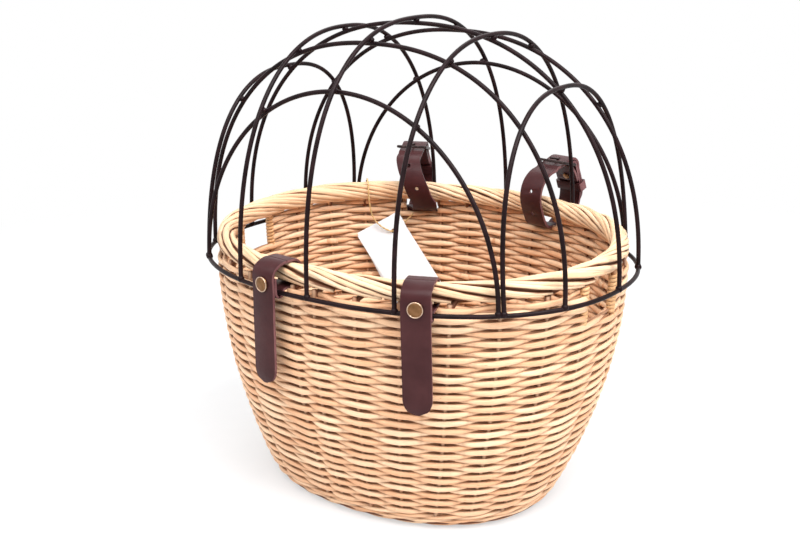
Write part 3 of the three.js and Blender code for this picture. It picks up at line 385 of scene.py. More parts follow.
class Rods:
    """Strands with an oval section, collected into one mesh with a map along each strand."""

    MAP_LENGTH = 100
    MAP_SHIFTS = 10
    MAP_CLOSING = 0.04
    END_REACH = 0.02
    END_WIDTH = 0.1
    # Painted light and shade round each strand's section: lighter at the sides, painted shade at the top
    # and bottom, and more underneath.
    EDGE_LIGHT = 0.4
    SIDE_LIGHT = 0.6
    SIDE_FULLNESS = 0.7
    UNDER_SHADE = 0.3
    AWAY_START = 0.3
    AWAY_WIDTH = 0.36

    def __init__(self):
        self.points = []
        self.faces = []
        self.maps = []
        self.tones = []
        self.painted_lights = []
        self.count = 0

    def add(self, path, up, thick, tall, sides=8, closed=False, tone=None, depth=1.0, away=None):
        """Sweeps one strand, with painted light and shade round its section. With away, only the side
        that looks that way is painted lit, and the rest gets painted shade.
        """
        path = np.asarray(path, float)
        length = len(path)
        along = tangents(path, closed)
        out = unit(np.cross(along, np.broadcast_to(up, path.shape)))
        up = np.cross(out, along)
        thick = np.broadcast_to(thick, length)
        tall = np.broadcast_to(tall, length)
        turn = np.arange(sides) * 2 * math.pi / sides
        ring = (
            path[:, None]
            + out[:, None] * (thick[:, None] * np.cos(turn))[..., None]
            + up[:, None] * (tall[:, None] * np.sin(turn))[..., None]
        )
        self.points.append(ring.reshape(-1, 3))
        tone = chance.random() if tone is None else tone
        self.tones.append(np.repeat(np.broadcast_to(tone, length), sides))
        under = np.clip(-np.sin(turn), 0, 1)
        light = self.EDGE_LIGHT + self.SIDE_LIGHT * np.abs(np.cos(turn)) ** self.SIDE_FULLNESS
        light = light - self.UNDER_SHADE * under
        painted_section_light = np.broadcast_to(np.clip(light, 0, 1), (length, sides))
        # With away: painted shade on the side that faces against it.
        if away is not None:
            spoke = ring - path[:, None]
            spoke = spoke / np.linalg.norm(spoke, axis=2, keepdims=True)
            facing = np.einsum("ijk,ik->ij", spoke, unit(away))
            painted_section_light = np.clip((facing - self.AWAY_START) / self.AWAY_WIDTH, 0, 1)
        self.painted_lights.append((np.broadcast_to(depth, length)[:, None] * painted_section_light).ravel())
        travel = np.concatenate([[0], np.cumsum(np.linalg.norm(np.diff(path, axis=0), axis=1))])
        travel = travel / self.MAP_LENGTH + self.MAP_SHIFTS * chance.random()
        spans = length if closed else length - 1
        for i in range(spans):
            a = self.count + i * sides
            b = self.count + (i + 1) % length * sides
            left = travel[i]
            right = travel[i + 1] if i + 1 < length else travel[i] + self.MAP_CLOSING
            for j in range(sides):
                k = (j + 1) % sides
                self.faces.append((a + j, b + j, b + k, a + k))
                low = j / sides
                high = (j + 1) / sides
                self.maps.extend((left, low, right, low, right, high, left, high))
        if not closed:
            first = list(range(self.count, self.count + sides))
            last = [self.count + (length - 1) * sides + j for j in range(sides)]
            for corners, reach in ((first, travel[0]), (last[::-1], travel[-1])):
                self.faces.append(tuple(corners))
                for j in range(sides):
                    self.maps.append(reach + self.END_REACH * math.cos(turn[j]))
                    self.maps.append(0.5 + self.END_WIDTH * math.sin(turn[j]))
        self.count += length * sides

    def build(self, name):
        mesh = bpy.data.meshes.new(name)
        points = np.concatenate(self.points) * MM
        mesh.from_pydata(points.tolist(), [], self.faces)
        layer = mesh.uv_layers.new(name="strand")
        layer.data.foreach_set("uv", np.asarray(self.maps, np.float32))
        # Each point keeps its painted light and shade as an attribute, beside its tone.
        for label, values in (("tone", self.tones), ("depth", self.painted_lights)):
            attribute = mesh.attributes.new(label, "FLOAT", "POINT")
            attribute.data.foreach_set("value", np.concatenate(values).astype(np.float32))
        mesh.shade_smooth()
        piece = bpy.data.objects.new(name, mesh)
        bpy.context.scene.collection.objects.link(piece)
        return piece


def finish(piece, material, slot, body, *nodes):
    """Gives a piece its material, its body and the CAD nodes that it stands for."""
    if material is not None:
        piece.data.materials.clear()
        piece.data.materials.append(material)
    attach(piece, body)
    if nodes:
        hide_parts(*nodes)
    return piece


# Materials

def srgb(red, green, blue):
    def linear(value):
        value /= 255
        return value / 12.92 if value <= 0.04045 else ((value + 0.055) / 1.055) ** 2.4
    return (linear(red), linear(green), linear(blue), 1.0)


class Nodes:
    """Short ways to add shader nodes to one tree."""

    def __init__(self, tree):
        self.tree = tree

    def add(self, kind, **settings):
        node = self.tree.nodes.new(kind)
        for key, value in settings.items():
            setattr(node, key, value)
        return node

    def link(self, source, target):
        self.tree.links.new(source, target)

    def feed(self, value, socket):
        """Sets a plain value on a socket, or links another node to it."""
        if isinstance(value, (int, float, tuple)):
            socket.default_value = value
        else:
            self.link(value, socket)

    def math(self, operation, first, second=0.0, clamp=False):
        node = self.add("ShaderNodeMath", operation=operation, use_clamp=clamp)
        self.feed(first, node.inputs[0])
        self.feed(second, node.inputs[1])
        return node.outputs[0]

    def mix(self, factor, first, second):
        node = self.add("ShaderNodeMix", data_type="RGBA")
        self.feed(factor, node.inputs[0])
        self.feed(first, node.inputs[6])
        self.feed(second, node.inputs[7])
        return node.outputs[2]

    def noise(self, vector, scale, detail=3.0, roughness=0.5):
        node = self.add("ShaderNodeTexNoise")
        self.feed(scale, node.inputs["Scale"])
        node.inputs["Detail"].default_value = detail
        node.inputs["Roughness"].default_value = roughness
        self.link(vector, node.inputs["Vector"])
        return node.outputs["Fac"]

    def stretch(self, vector, scale):
        node = self.add("ShaderNodeMapping")
        node.inputs["Scale"].default_value = scale
        self.link(vector, node.inputs["Vector"])
        return node.outputs["Vector"]

    def spread(self, value, low, high, to_low=0.0, to_high=1.0):
        node = self.add("ShaderNodeMapRange")
        self.link(value, node.inputs["Value"])
        limits = {"From Min": low, "From Max": high, "To Min": to_low, "To Max": to_high}
        for socket, limit in limits.items():
            self.feed(limit, node.inputs[socket])
        return node.outputs["Result"]

    def place(self):
        return self.add("ShaderNodeTexCoord").outputs["Object"]


class Effect(Nodes):
    """A node group that several materials share."""

    def __init__(self, name, inputs, outputs):
        super().__init__(bpy.data.node_groups.new(name, "ShaderNodeTree"))
        for way, sockets in (("INPUT", inputs), ("OUTPUT", outputs)):
            for label, kind in sockets.items():
                self.tree.interface.new_socket(label, in_out=way, socket_type=f"NodeSocket{kind}")
        self.given = self.add("NodeGroupInput").outputs
        self.result = self.add("NodeGroupOutput").inputs


class Material(Nodes):
    """A Principled material."""

    def __init__(self, name, **values):
        self.material = bpy.data.materials.new(name)
        self.material.use_nodes = True
        super().__init__(self.material.node_tree)
        self.tree.nodes.clear()
        self.shader = self.add("ShaderNodeBsdfPrincipled")
        self.output = self.add("ShaderNodeOutputMaterial")
        self.link(self.shader.outputs["BSDF"], self.output.inputs["Surface"])
        for socket, value in values.items():
            self.shader.inputs[socket.replace("_", " ")].default_value = value

    def attribute(self, name):
        return self.add("ShaderNodeAttribute", attribute_name=name).outputs["Fac"]

    def effect(self, effect, **values):
        """Places a shared effect with this material's own values."""
        node = self.add("ShaderNodeGroup", node_tree=effect.tree)
        for label, value in values.items():
            self.feed(value, node.inputs[label.replace("_", " ")])
        return node.outputs

    def colour(self, source):
        self.link(source, self.shader.inputs["Base Color"])

    def roughness(self, source):
        self.link(source, self.shader.inputs["Roughness"])

    def bump(self, height, strength, distance):
        node = self.add("ShaderNodeBump")
        node.inputs["Strength"].default_value = strength
        node.inputs["Distance"].default_value = distance
        self.link(height, node.inputs["Height"])
        self.link(node.outputs["Normal"], self.shader.inputs["Normal"])


def peeled_rod():
    """Long fine streaks along a rod, a tone for each rod, and painted shade in the hollows where the
    painted light is low.
    """
    made = Effect(
        "peeled_rod",
        {"Strand": "Vector", "Tone": "Float", "Depth": "Float", "Pale": "Color", "Mid": "Color",
         "Deep": "Color", "Roughness": "Float"},
        {"Colour": "Color", "Roughness": "Float", "Height": "Float"},
    )
    strand = made.given["Strand"]
    broad = made.noise(made.stretch(strand, (1.6, 2.2, 1)), 2.0, 2.0)
    streaks = made.noise(made.stretch(strand, (2.0, 22.0, 1)), 2.4, 4.0, 0.62)
    tone = made.math("MULTIPLY", made.given["Tone"], 0.55)
    share = made.math("ADD", tone, made.math("MULTIPLY", broad, 0.6))
    colour = made.mix(made.spread(share, 0.25, 0.95), made.given["Pale"], made.given["Mid"])
    streak = made.math("MULTIPLY", made.spread(streaks, 0.5, 0.72), 0.42)
    colour = made.mix(streak, colour, made.given["Deep"])
    knots = made.noise(made.stretch(strand, (9.0, 5.0, 1)), 1.6, 1.0)
    colour = made.mix(made.spread(knots, 0.72, 0.8, 0.0, 0.55), colour, made.given["Deep"])
    # Painted shade: where a point's painted light is low, its colour goes to the deep colour.
    painted_shade = made.spread(made.given["Depth"], 0.08, 0.75, 0.95, 0.0)
    made.link(made.mix(painted_shade, colour, made.given["Deep"]), made.result["Colour"])
    rough = made.math("ADD", made.given["Roughness"], made.spread(streaks, 0.3, 0.7, -0.08, 0.12))
    made.link(rough, made.result["Roughness"])
    made.link(streaks, made.result["Height"])
    return made


PEELED_ROD = peeled_rod()


def willow(name, pale, mid, deep, roughness=0.5):
    made = Material(name, Specular_IOR_Level=0.35)
    rod = made.effect(
        PEELED_ROD,
        Strand=made.add("ShaderNodeUVMap", uv_map="strand").outputs["UV"],
        Tone=made.attribute("tone"),
        Depth=made.attribute("depth"),
        Pale=pale,
        Mid=mid,
        Deep=deep,
        Roughness=roughness,
    )
    made.colour(rod["Colour"])
    made.roughness(rod["Roughness"])
    made.bump(rod["Height"], 0.25, 0.0006)
    return made.material


WILLOW = willow("peeled_willow", srgb(254, 217, 179), srgb(230, 173, 129), srgb(100, 46, 20))
WILLOW_BORDER = willow("border_willow", srgb(250, 219, 182), srgb(230, 184, 142), srgb(104, 54, 28))
WILLOW_BOUND = willow("bound_willow", srgb(236, 194, 146), srgb(212, 156, 102), srgb(120, 66, 30))
RAFFIA = willow("raffia", srgb(232, 204, 150), srgb(206, 166, 108), srgb(150, 106, 58), 0.65)


def speckled():
    """Two tones in soft patches, with a fine grain."""
    made = Effect(
        "speckled",
        {"Place": "Vector", "Patches": "Float", "Grain": "Float", "First": "Color", "Second": "Color",
         "Smoothest": "Float", "Roughest": "Float"},
        {"Colour": "Color", "Roughness": "Float", "Height": "Float"},
    )
    patches = made.spread(made.noise(made.given["Place"], made.given["Patches"]), 0.35, 0.65)
    grain = made.noise(made.given["Place"], made.given["Grain"], 2.0)
    made.link(made.mix(patches, made.given["First"], made.given["Second"]), made.result["Colour"])
    rough = made.spread(grain, 0.3, 0.7, made.given["Smoothest"], made.given["Roughest"])
    made.link(rough, made.result["Roughness"])
    made.link(grain, made.result["Height"])
    return made


SPECKLED = speckled()


def grained(name, first, second, patches, grain, rough, bump, **values):
    made = Material(name, **values)
    surface = made.effect(
        SPECKLED, Place=made.place(), Patches=patches, Grain=grain, First=first, Second=second,
        Smoothest=rough[0], Roughest=rough[1],
    )
    made.colour(surface["Colour"])
    made.roughness(surface["Roughness"])
    made.bump(surface["Height"], *bump)
    return made.material


COATED_WIRE = grained(
    "coated_wire", srgb(20, 10, 12), srgb(35, 20, 22), 60.0, 900.0, (0.3, 0.42), (0.12, 0.0003),
    Specular_IOR_Level=0.1)
OLD_BRASS = grained(
    "old_brass", srgb(122, 88, 58), srgb(142, 104, 72), 260.0, 1800.0, (0.3, 0.45), (0.08, 0.0002),
    Metallic=1.0)
BRIGHT_RIM = grained(
    "bright_rim", srgb(196, 164, 140), srgb(222, 196, 172), 300.0, 1800.0, (0.22, 0.35), (0.06, 0.0002),
    Metallic=1.0)
DARK_BUCKLE = grained(
    "dark_buckle", srgb(46, 36, 36), srgb(74, 60, 58), 240.0, 1400.0, (0.3, 0.45), (0.08, 0.0002),
    Metallic=0.8)
WHITE_CARD = grained(
    "white_card", srgb(236, 246, 253), srgb(243, 250, 255), 90.0, 1200.0, (0.55, 0.75), (0.08, 0.0002),
    Specular_IOR_Level=0.3)


def hide():
    """Leather's pores and fine wrinkles, with cloudy wear."""
    made = Effect(
        "hide",
        {"Place": "Vector", "Dark": "Color", "Light": "Color", "Roughness": "Float"},
        {"Colour": "Color", "Roughness": "Float", "Height": "Float"},
    )
    pores = made.add("ShaderNodeTexVoronoi", feature="DISTANCE_TO_EDGE")
    pores.inputs["Scale"].default_value = 1500.0
    made.link(made.given["Place"], pores.inputs["Vector"])
    wrinkles = made.noise(made.given["Place"], 420.0, 4.0, 0.6)
    wear = made.spread(made.noise(made.given["Place"], 38.0), 0.38, 0.7)
    made.link(made.mix(wear, made.given["Dark"], made.given["Light"]), made.result["Colour"])
    rough = made.math("ADD", made.given["Roughness"], made.spread(wrinkles, 0.3, 0.7, -0.06, 0.08))
    made.link(rough, made.result["Roughness"])
    height = made.math("ADD", made.math("MULTIPLY", pores.outputs["Distance"], 0.7), wrinkles)
    made.link(height, made.result["Height"])
    return made


HIDE = hide()


def leather(name, dark, light, roughness, grain_strength):
    made = Material(name, Specular_IOR_Level=0.16)
    surface = made.effect(HIDE, Place=made.place(), Dark=dark, Light=light, Roughness=roughness)
    made.colour(surface["Colour"])
    made.roughness(surface["Roughness"])
    made.bump(surface["Height"], grain_strength, 0.0004)
    return made.material


LEATHER = leather("brown_leather", srgb(57, 26, 28), srgb(71, 37, 38), 0.38, 0.22)
LEATHER_EDGE = leather("leather_edge", srgb(96, 60, 62), srgb(134, 94, 94), 0.55, 0.35)


# The camera

def look_at_basket():
    back = direction(CAMERA_AZIMUTH, CAMERA_ELEVATION)
    data = bpy.data.cameras.new("photograph")
    data.sensor_width = SENSOR
    data.lens = FOCAL_PIXELS * SENSOR / PHOTO_WIDTH
    data.clip_end = 50
    camera = bpy.data.objects.new("photograph", data)
    bpy.context.scene.collection.objects.link(camera)
    camera.location = (Vector(CAMERA_TARGET) + back * CAMERA_DISTANCE) * MM
    roll = Quaternion((0, 0, 1), math.radians(CAMERA_ROLL))
    camera.rotation_mode = "QUATERNION"
    camera.rotation_quaternion = back.to_track_quat("Z", "Y") @ roll
    bpy.context.scene.camera = camera


look_at_basket()


# The raffia that holds the tag

# x, the distance out from the rear rim, and the height of each point
STRING_ROUTE = (
    (-143, 3.2, 224),
    (-143.2, 3.4, 233),
    (-143, 1.6, 242),
    (-142.4, -3.4, 248.4),
    (-142, -9, 249.4),
    (-141.6, -15, 247.2),
    (-141.4, -18.2, 241),
    (-141, -18.9, 232),
    (-140, -18.2, 222),
    (-138.4, -17.2, 213),
    (-134, -18, 205),
    (-127, -18.4, 199),
    (-120.8, -18.2, 196),
    (-118, -17.2, 195.3),
    (-117, -15.1, 195),
    (-116, -13, 195.3),
    (-113, -12, 197),
    (-108, -11, 202),
    (-102, -10.4, 208.5),
    (-97.2, -10.4, 213.6),
)


def smooth_line(points, per_span):
    """A Catmull-Rom line through points."""
    points = np.asarray(points, float)
    padded = np.concatenate([[2 * points[0] - points[1]], points, [2 * points[-1] - points[-2]]])
    line = []
    for i in range(1, len(padded) - 2):
        before, start, end, after = padded[i - 1:i + 3]
        for t in np.arange(per_span) / per_span:
            line.append(0.5 * (
                2 * start + (end - before) * t
                + (2 * before - 5 * start + 4 * end - after) * t**2
                + (3 * start - before - 3 * end + after) * t**3
            ))
    line.append(points[-1])
    return np.asarray(line)


def tag_string():
    route = [beside_rim(x, REAR, out, z) for x, out, z in STRING_ROUTE]
    line = smooth_line(route, 6)
    steps = np.linalg.norm(np.diff(line, axis=0), axis=1)
    travel = np.concatenate([[0], np.cumsum(steps)])
    rods = Rods()
    along = tangents(line, False)
    side = unit(np.cross(along, (0.1, 1.0, 0.2)))
    other = np.cross(along, side)
    for ply in range(2):
        turn = travel * 2 * math.pi / PLY_PITCH + ply * math.pi
        path = line + PLY_OFFSET * (side * np.cos(turn)[:, None] + other * np.sin(turn)[:, None])
        rods.add(path, side, PLY_RADIUS, PLY_RADIUS, sides=6)
    piece = rods.build("tag_raffia")
    finish(piece, RAFFIA, "raffia", "basket", "tag_string")
    return piece, line, float(travel[-1])


string_piece, string_line, string_length = tag_string()


# The weave

def waviness(arc, row):
    """Rows wander up and down a little, together with their neighbours."""
    turn = arc * 2 * math.pi / ROUND
    wander = sum(
        wave["size"] * np.sin(wave["turns"] * turn + wave["drift"] * row + wave["start"])
        for wave in ROW_WAVES
    )
    return wander * min(1.0, row / LEVEL_ROWS_AT_FOOT, (ROWS - 1 - row) / LEVEL_ROWS_AT_TOP)


def wall_top(angle):
    return rim_top(RIM_Y * signed_power(np.sin(angle), 2 / ROUNDNESS)) - WALL_DROP


def row_height(arc, row):
    top = wall_top(angle_at(arc))
    return WALL_FOOT + (row + 0.5) / ROWS * (top - WALL_FOOT)


def blocked_spans(row):
    """Where the row stops: at a hand-hole's bound edges and at a strap's slot."""
    spans = []
    reach = WEAVER_TALL + WEAVER_CLEARANCE
    if row_height(RIGHT_FRONT, row) + reach > HAND_HOLE_FLOOR:
        spans.append((RIGHT_FRONT, RIGHT_REAR))
        spans.append((LEFT_REAR, LEFT_FRONT + ROUND))
    for slot in SLOTS:
        middle = slot_arc(slot)
        if row_height(middle, row) + reach - 1 > slot["floor"]:
            spans.append((middle - slot["half"], middle + slot["half"]))
    return sorted(spans)


def row_runs(row):
    """The open stretches of a row, or the whole round in two spliced rods."""
    spans = blocked_spans(row)
    if spans:
        after = spans[1:] + [(spans[0][0] + ROUND, 0)]
        return [(a[1], b[0], False) for a, b in zip(spans, after) if b[0] - a[1] > SHORTEST_RUN]
    first = 2 * chance.randrange(STAKE_COUNT // 2) + (row + 1) % 2
    second = first + 2 * chance.randrange(4, 9)
    stops = [first, second, first + STAKE_COUNT]
    return [(arc_of_phase(a), arc_of_phase(b), True) for a, b in zip(stops, stops[1:])]


def weave_row(rods, row):
    for start, end, spliced in row_runs(row):
        if spliced:
            start -= SPLICE_BEFORE
            end += SPLICE_BEHIND
        count = max(4, int((end - start) / WEAVE_STEP))
        arc = np.linspace(start, end, count)
        phase = phase_at(arc)
        crest = np.cos(math.pi * (phase + row))
        offset = WEAVE_REACH * signed_power(crest, FLOAT_FULLNESS)
        if spliced:
            offset = offset - SPLICE_TUCK_BEFORE * np.clip(1 - (arc - start) / SPLICE_LENGTH, 0, 1)
            offset = offset - SPLICE_TUCK_BEHIND * np.clip(1 - (end - arc) / SPLICE_LENGTH, 0, 1)
        angle = angle_at(arc)
        middle = row_height(arc, row) + waviness(arc, row)
        z = middle - WEAVE_DROOP * crest
        path = body_point(angle, z, WALL_MIDDLE - offset)
        up = body_point(angle, z + 1, WALL_MIDDLE) - body_point(angle, z - 1, WALL_MIDDLE)
        share = (arc - start) / max(end - start, 1)
        girth = BUTT_GIRTH - TAPER * share + chance.uniform(-GIRTH_VARIES, GIRTH_VARIES)
        swell = np.abs(crest) ** 1.6
        # Painted shade where the weaver dives in behind a stake, light where it floats out.
        rods.add(
            path, up,
            (WEAVER_THICK + CROSSING_SWELL * (1 - swell)) * girth,
            (WEAVER_TALL + FLOAT_SWELL * swell) * (0.5 + 0.5 * girth),
            sides=8,
            depth=CROSSING_LIGHT + (1 - CROSSING_LIGHT) * np.clip(1.6 * np.abs(crest), 0, 1),
        )
        shade_row_gap(rods, arc, middle, row)


def shade_row_gap(rods, arc, middle, row):
    """A thin dark rod inside the wall, between two rows: it stands in for the shade there and is drawn in
    painted shade, so that no daylight shows between the rows.
    """
    if row == ROWS - 1:
        return
    arc = arc[::2]
    angle = angle_at(arc)
    pitch = (wall_top(angle) - WALL_FOOT) / ROWS
    z = middle[::2] + pitch / 2
    path = body_point(angle, z, WALL_MIDDLE)
    rods.add(
        path, (0, 0, 1), SHADE_ROD_THICK, SHADE_ROD_TALL, sides=6, tone=SHADE_ROD_TONE, depth=SHADE_ROD_LIGHT
    )


def weave_wall():
    for label, first, last in ROW_BANDS:
        rods = Rods()
        for row in range(first, last):
            weave_row(rods, row)
        finish(rods.build(f"wall_weave_{label}"), WILLOW, "willow", "basket", "wall")


def stand_stakes():
    rods = Rods()
    for arc in STAKES:
        bound = any(abs(arc - edge) < 1 for edge in BOUND_ARCS)
        angle = angle_at(arc)
        top = HAND_HOLE_FLOOR - 2 if bound else float(wall_top(angle)) + 3
        path = body_point(angle, np.linspace(STAKE_FOOT, top, 40), WALL_MIDDLE)
        along = body_point(angle_at(arc + 1), 150, 0) - body_point(angle_at(arc - 1), 150, 0)
        rods.add(path, along, STAKE, STAKE, sides=8, depth=STAKE_SHADE)
    finish(rods.build("stakes"), WILLOW, "willow", "basket", "wall")


def bind_edges():
    names = ("binding_left_front", "binding_right_front", "binding_right_rear", "binding_left_rear")
    for name, arc in zip(names, BOUND_ARCS):
        angle = angle_at(arc)
        foot = HAND_HOLE_FLOOR - 4
        top = float(wall_top(angle)) + 1.5
        turns = (top - foot) / WRAP_PITCH
        turn = np.linspace(0, turns * 2 * math.pi, int(turns * WRAP_STEPS))
        z = foot + WRAP_PITCH * turn / (2 * math.pi)
        centre = body_point(angle, z, WALL_MIDDLE)
        out = unit((body_point(angle, 200, 0) - body_point(angle, 200, 5))[None])[0]
        out[2] = 0
        side = np.cross((0, 0, 1), out)
        radial = out * np.cos(turn)[:, None] + side * np.sin(turn)[:, None]
        rods = Rods()
        rods.add(centre + WRAP_RADIUS * radial, (0, 0, 1), WRAP_THICK, WRAP_TALL, sides=6, depth=0.9)
        # The core under the wrap is drawn with painted shade, and the wrap with a little painted shade.
        core = body_point(angle, np.linspace(foot - 2, top + 2, 12), WALL_MIDDLE)
        rods.add(core, side, BOUND_CORE, BOUND_CORE, sides=10, depth=0.3)
        finish(rods.build(f"{name}_wrap"), WILLOW_BOUND, "bound_willow", "basket", name)


# The border: each stake turns down along the rim, over its neighbours

def border_rod(rods, place):
    """One rod, from where it comes out of the weave to its end, tucked in under the others."""
    start = float(arc_of_phase(place))
    end = float(arc_of_phase(place + BORDER_SPAN * chance.uniform(0.93, 1.06)))
    section = np.linspace(math.radians(BORDER_FIRST_TURN), math.radians(BORDER_LAST_TURN), BORDER_STEPS)
    arc = np.linspace(start + BORDER_LEAD, end, len(section))
    wander = chance.uniform(-BORDER_WANDER, BORDER_WANDER)
    wander = wander + BORDER_WANDER * np.sin(arc / BORDER_WAVE + 2.4 * place)
    out = BORDER_OUT - (BORDER_REACH_OUT + wander) * np.cos(section)
    drop = BORDER_DROP - (BORDER_REACH_UP + wander) * np.sin(section)
    if place == int(place):
        arc = np.concatenate([[start, start + 1.2], arc])
        out = np.concatenate([[-4.2, -5.3], out])
        drop = np.concatenate([[26, 20.5], drop])
    path = rim_point(angle_at(arc), out, drop)
    # Painted shade on the side of each rod that faces the middle of the border.
    core = rim_point(angle_at(arc), BORDER_OUT, BORDER_DROP)
    girth = BORDER_ROD * chance.uniform(0.8, 1.14) * (1.06 - 0.26 * np.linspace(0, 1, len(path)) ** 2)
    rods.add(path, (0, 0, 1), girth, girth, sides=10, away=path - core)


def weave_border():
    rods = Rods()
    for index in range(STAKE_COUNT * BORDER_PAIR):
        border_rod(rods, index / BORDER_PAIR)
    # A dark rod in the middle of the border, all painted shade, fills the gaps between the rods.
    arc = np.linspace(0, ROUND, 120, endpoint=False)
    core = rim_point(angle_at(arc), BORDER_OUT, BORDER_DROP)
    rods.add(
        core, (0, 0, 1), BORDER_SHADE_CORE_THICK, BORDER_SHADE_CORE_TALL, sides=8, closed=True, tone=0.9, depth=0.0
    )
    finish(rods.build("border_rods"), WILLOW_BORDER, "willow", "basket", "border")


# The foot: three rows of waling and the woven base

def weave_wale():
    rods = Rods()
    arc = np.linspace(0, ROUND, 300, endpoint=False)
    for row, middle in enumerate(WALE_ROWS):
        for strand in range(WALE_STRANDS):
            share = arc / ROUND * WALE_TURNS + strand / WALE_STRANDS + WALE_ROW_SHIFT * row
            turn = 2 * math.pi * share
            z = middle + WALE_RISE * np.sin(turn)
            angle = angle_at(arc)
            path = body_point(angle, z, WALE_INSET - WALE_SWING * np.cos(turn))
            up = body_point(angle, middle + 1.5, 4) - body_point(angle, middle - 1.5, 4)
            # Painted light: lighter where the strand lies out or in, painted shade where it crosses its
            # neighbours.
            light = 0.3 + 0.7 * np.abs(np.cos(turn))
            rods.add(path, up, WALE_THICK, WALE_TALL, sides=8, closed=True, depth=light)
    # A dark rod inside the waling, almost all painted shade, stands in for the shade between the strands.
    shade_rod = body_point(angle_at(arc[::2]), WALE_ROWS[1], WALE_SHADE_ROD_INSET)
    rods.add(
        shade_rod, (0, 0, 1), WALE_SHADE_ROD_THICK, WALE_SHADE_ROD_TALL,
        sides=6, closed=True, tone=0.8, depth=0.1,
    )
    finish(rods.build("upset_wale_rods"), WILLOW, "willow", "basket", "upset_wale")


def base_point(angle, share, z):
    """A point of the base: share is 0 in its middle and 1 at its edge."""
    outline = body_point(angle, BASE_OUTLINE_Z, BASE_INSET)
    middle = np.array([0.0, float(body_point(0.0, BASE_OUTLINE_Z, 0.0)[1]), 0.0])
    point = middle + (outline - middle) * np.asarray(share)[..., None]
    point[..., 2] = z
    return point


def weave_base():
    rods = Rods()
    arc = np.linspace(0, ROUND, 240, endpoint=False)
    angle = angle_at(arc)
    for row in range(BASE_ROWS):
        share = BASE_FIRST_ROW + (1 - BASE_FIRST_ROW) * row / (BASE_ROWS - 1)
        wave = np.cos(BASE_STICKS / 2 * angle + math.pi * row)
        path = base_point(angle, np.full(len(arc), share), BASE_MIDDLE + BASE_WAVE * wave)
        # Painted light along each rod, with painted shade where it crosses a stick; the sticks are half
        # in painted shade.
        light = 0.4 + 0.6 * np.abs(wave)
        rods.add(path, (0, 0, 1), BASE_ROD_THICK, BASE_ROD_TALL, sides=6, closed=True, depth=light)
    sticks = np.arange(BASE_STICKS) * 2 * math.pi / BASE_STICKS
    for turn in sticks + math.pi / BASE_STICKS:
        path = base_point(np.full(8, turn), np.linspace(0.0, 1.01, 8), BASE_MIDDLE)
        rods.add(path, (0, 0, 1), BASE_STICK, BASE_STICK, sides=8, depth=0.5)
    finish(rods.build("base_weave"), WILLOW, "willow", "basket", "base")


weave_wall()
stand_stakes()
bind_edges()
weave_border()
weave_wale()
weave_base()


# The wire dome

def hoop_depth(x):
    return HOOP_Y * (1 - (abs(x) / HOOP_X) ** HOOP_ROUNDNESS) ** (1 / HOOP_ROUNDNESS)


def hoop_width(y):
    return HOOP_X * (1 - (abs(y) / HOOP_Y) ** HOOP_ROUNDNESS) ** (1 / HOOP_ROUNDNESS)


def corner_foot(place, half_at):
    """A corner arch's feet stand a little further out, beside their neighbours."""
    half = half_at(place)
    slope = Vector((1, half_at(place + 1) - half)).normalized()
    return half + CORNER_SPREAD * slope.y, place + CORNER_SPREAD * slope.x


def arch_line(arch, count):
    place = abs(arch["place"])
    half_at = hoop_width if arch["cross"] else hoop_depth
    half = half_at(place)
    if place > CORNER_PLACE:
        half, place = corner_foot(place, half_at)
    place = math.copysign(place, arch["place"])
    angle = np.linspace(0, math.pi, count)
    power = 2 / arch["fullness"]
    run = -half * signed_power(np.cos(angle), power)
    slant = (arch["rise"] - ARCH_FOOT + HOOP_Z) * np.abs(np.sin(angle)) ** power
    lean = math.radians(arch["lean"])
    side = place - np.sign(place) * slant * math.sin(lean)
    z = ARCH_FOOT + slant * math.cos(lean)
    line = np.stack([run, side, z] if arch["cross"] else [side, run, z], axis=-1)
    feet = line[[0, -1]] - (0, 0, ARCH_FOOT_DROP)
    return np.concatenate([feet[:1], line, feet[1:]])


def even_line(line, step):
    """The same line in even steps."""
    travel = np.concatenate([[0], np.cumsum(np.linalg.norm(np.diff(line, axis=0), axis=1))])
    count = int(travel[-1] / step)
    even = np.linspace(0, travel[-1], count)
    return np.stack([np.interp(even, travel, line[:, axis]) for axis in range(3)], axis=-1)


def bend_wire(line, name, closed=False):
    """A drawn curve along the line, given the wire's thickness and made a mesh."""
    bpy.ops.object.select_all(action="DESELECT")
    bpy.ops.curve.primitive_nurbs_path_add(location=(0, 0, 0))
    curve = bpy.context.object.data
    curve.dimensions = "3D"
    curve.splines.clear()
    spline = curve.splines.new("POLY")
    spline.points.add(len(line) - 1)
    spline.points.foreach_set("co", np.column_stack([line * MM, np.ones(len(line))]).ravel())
    spline.use_cyclic_u = closed
    curve.bevel_depth = WIRE * MM
    curve.bevel_resolution = 5
    curve.use_fill_caps = True
    bpy.ops.object.convert(target="MESH")
    bpy.ops.object.mode_set(mode="EDIT")
    bpy.ops.mesh.select_all(action="SELECT")
    bpy.ops.mesh.remove_doubles(threshold=0.02 * MM)
    bpy.ops.mesh.normals_make_consistent(inside=False)
    bpy.ops.object.mode_set(mode="OBJECT")
    bpy.ops.object.shade_smooth()
    wire = bpy.context.object
    wire.name = name
    wire.data.name = name
    return wire


def weld_bead(place, width, height):
    """A drop of weld: a low uneven blob on both wires."""
    bpy.ops.object.select_all(action="DESELECT")
    bpy.ops.mesh.primitive_uv_sphere_add(segments=14, ring_count=9, radius=1, location=(0, 0, 0))
    bead = bpy.context.object
    bead.scale = (width * MM, width * MM, height * MM)
    bead.location = Vector(place) * MM
    bpy.ops.object.transform_apply(location=True, rotation=True, scale=True)
    bpy.ops.object.mode_set(mode="EDIT")
    bpy.ops.mesh.select_all(action="SELECT")
    bpy.ops.transform.vertex_random(
        offset=BEAD_ROUGH * MM, uniform=1.0, normal=0.0, seed=chance.randrange(1000))
    bpy.ops.object.mode_set(mode="OBJECT")
    return bead


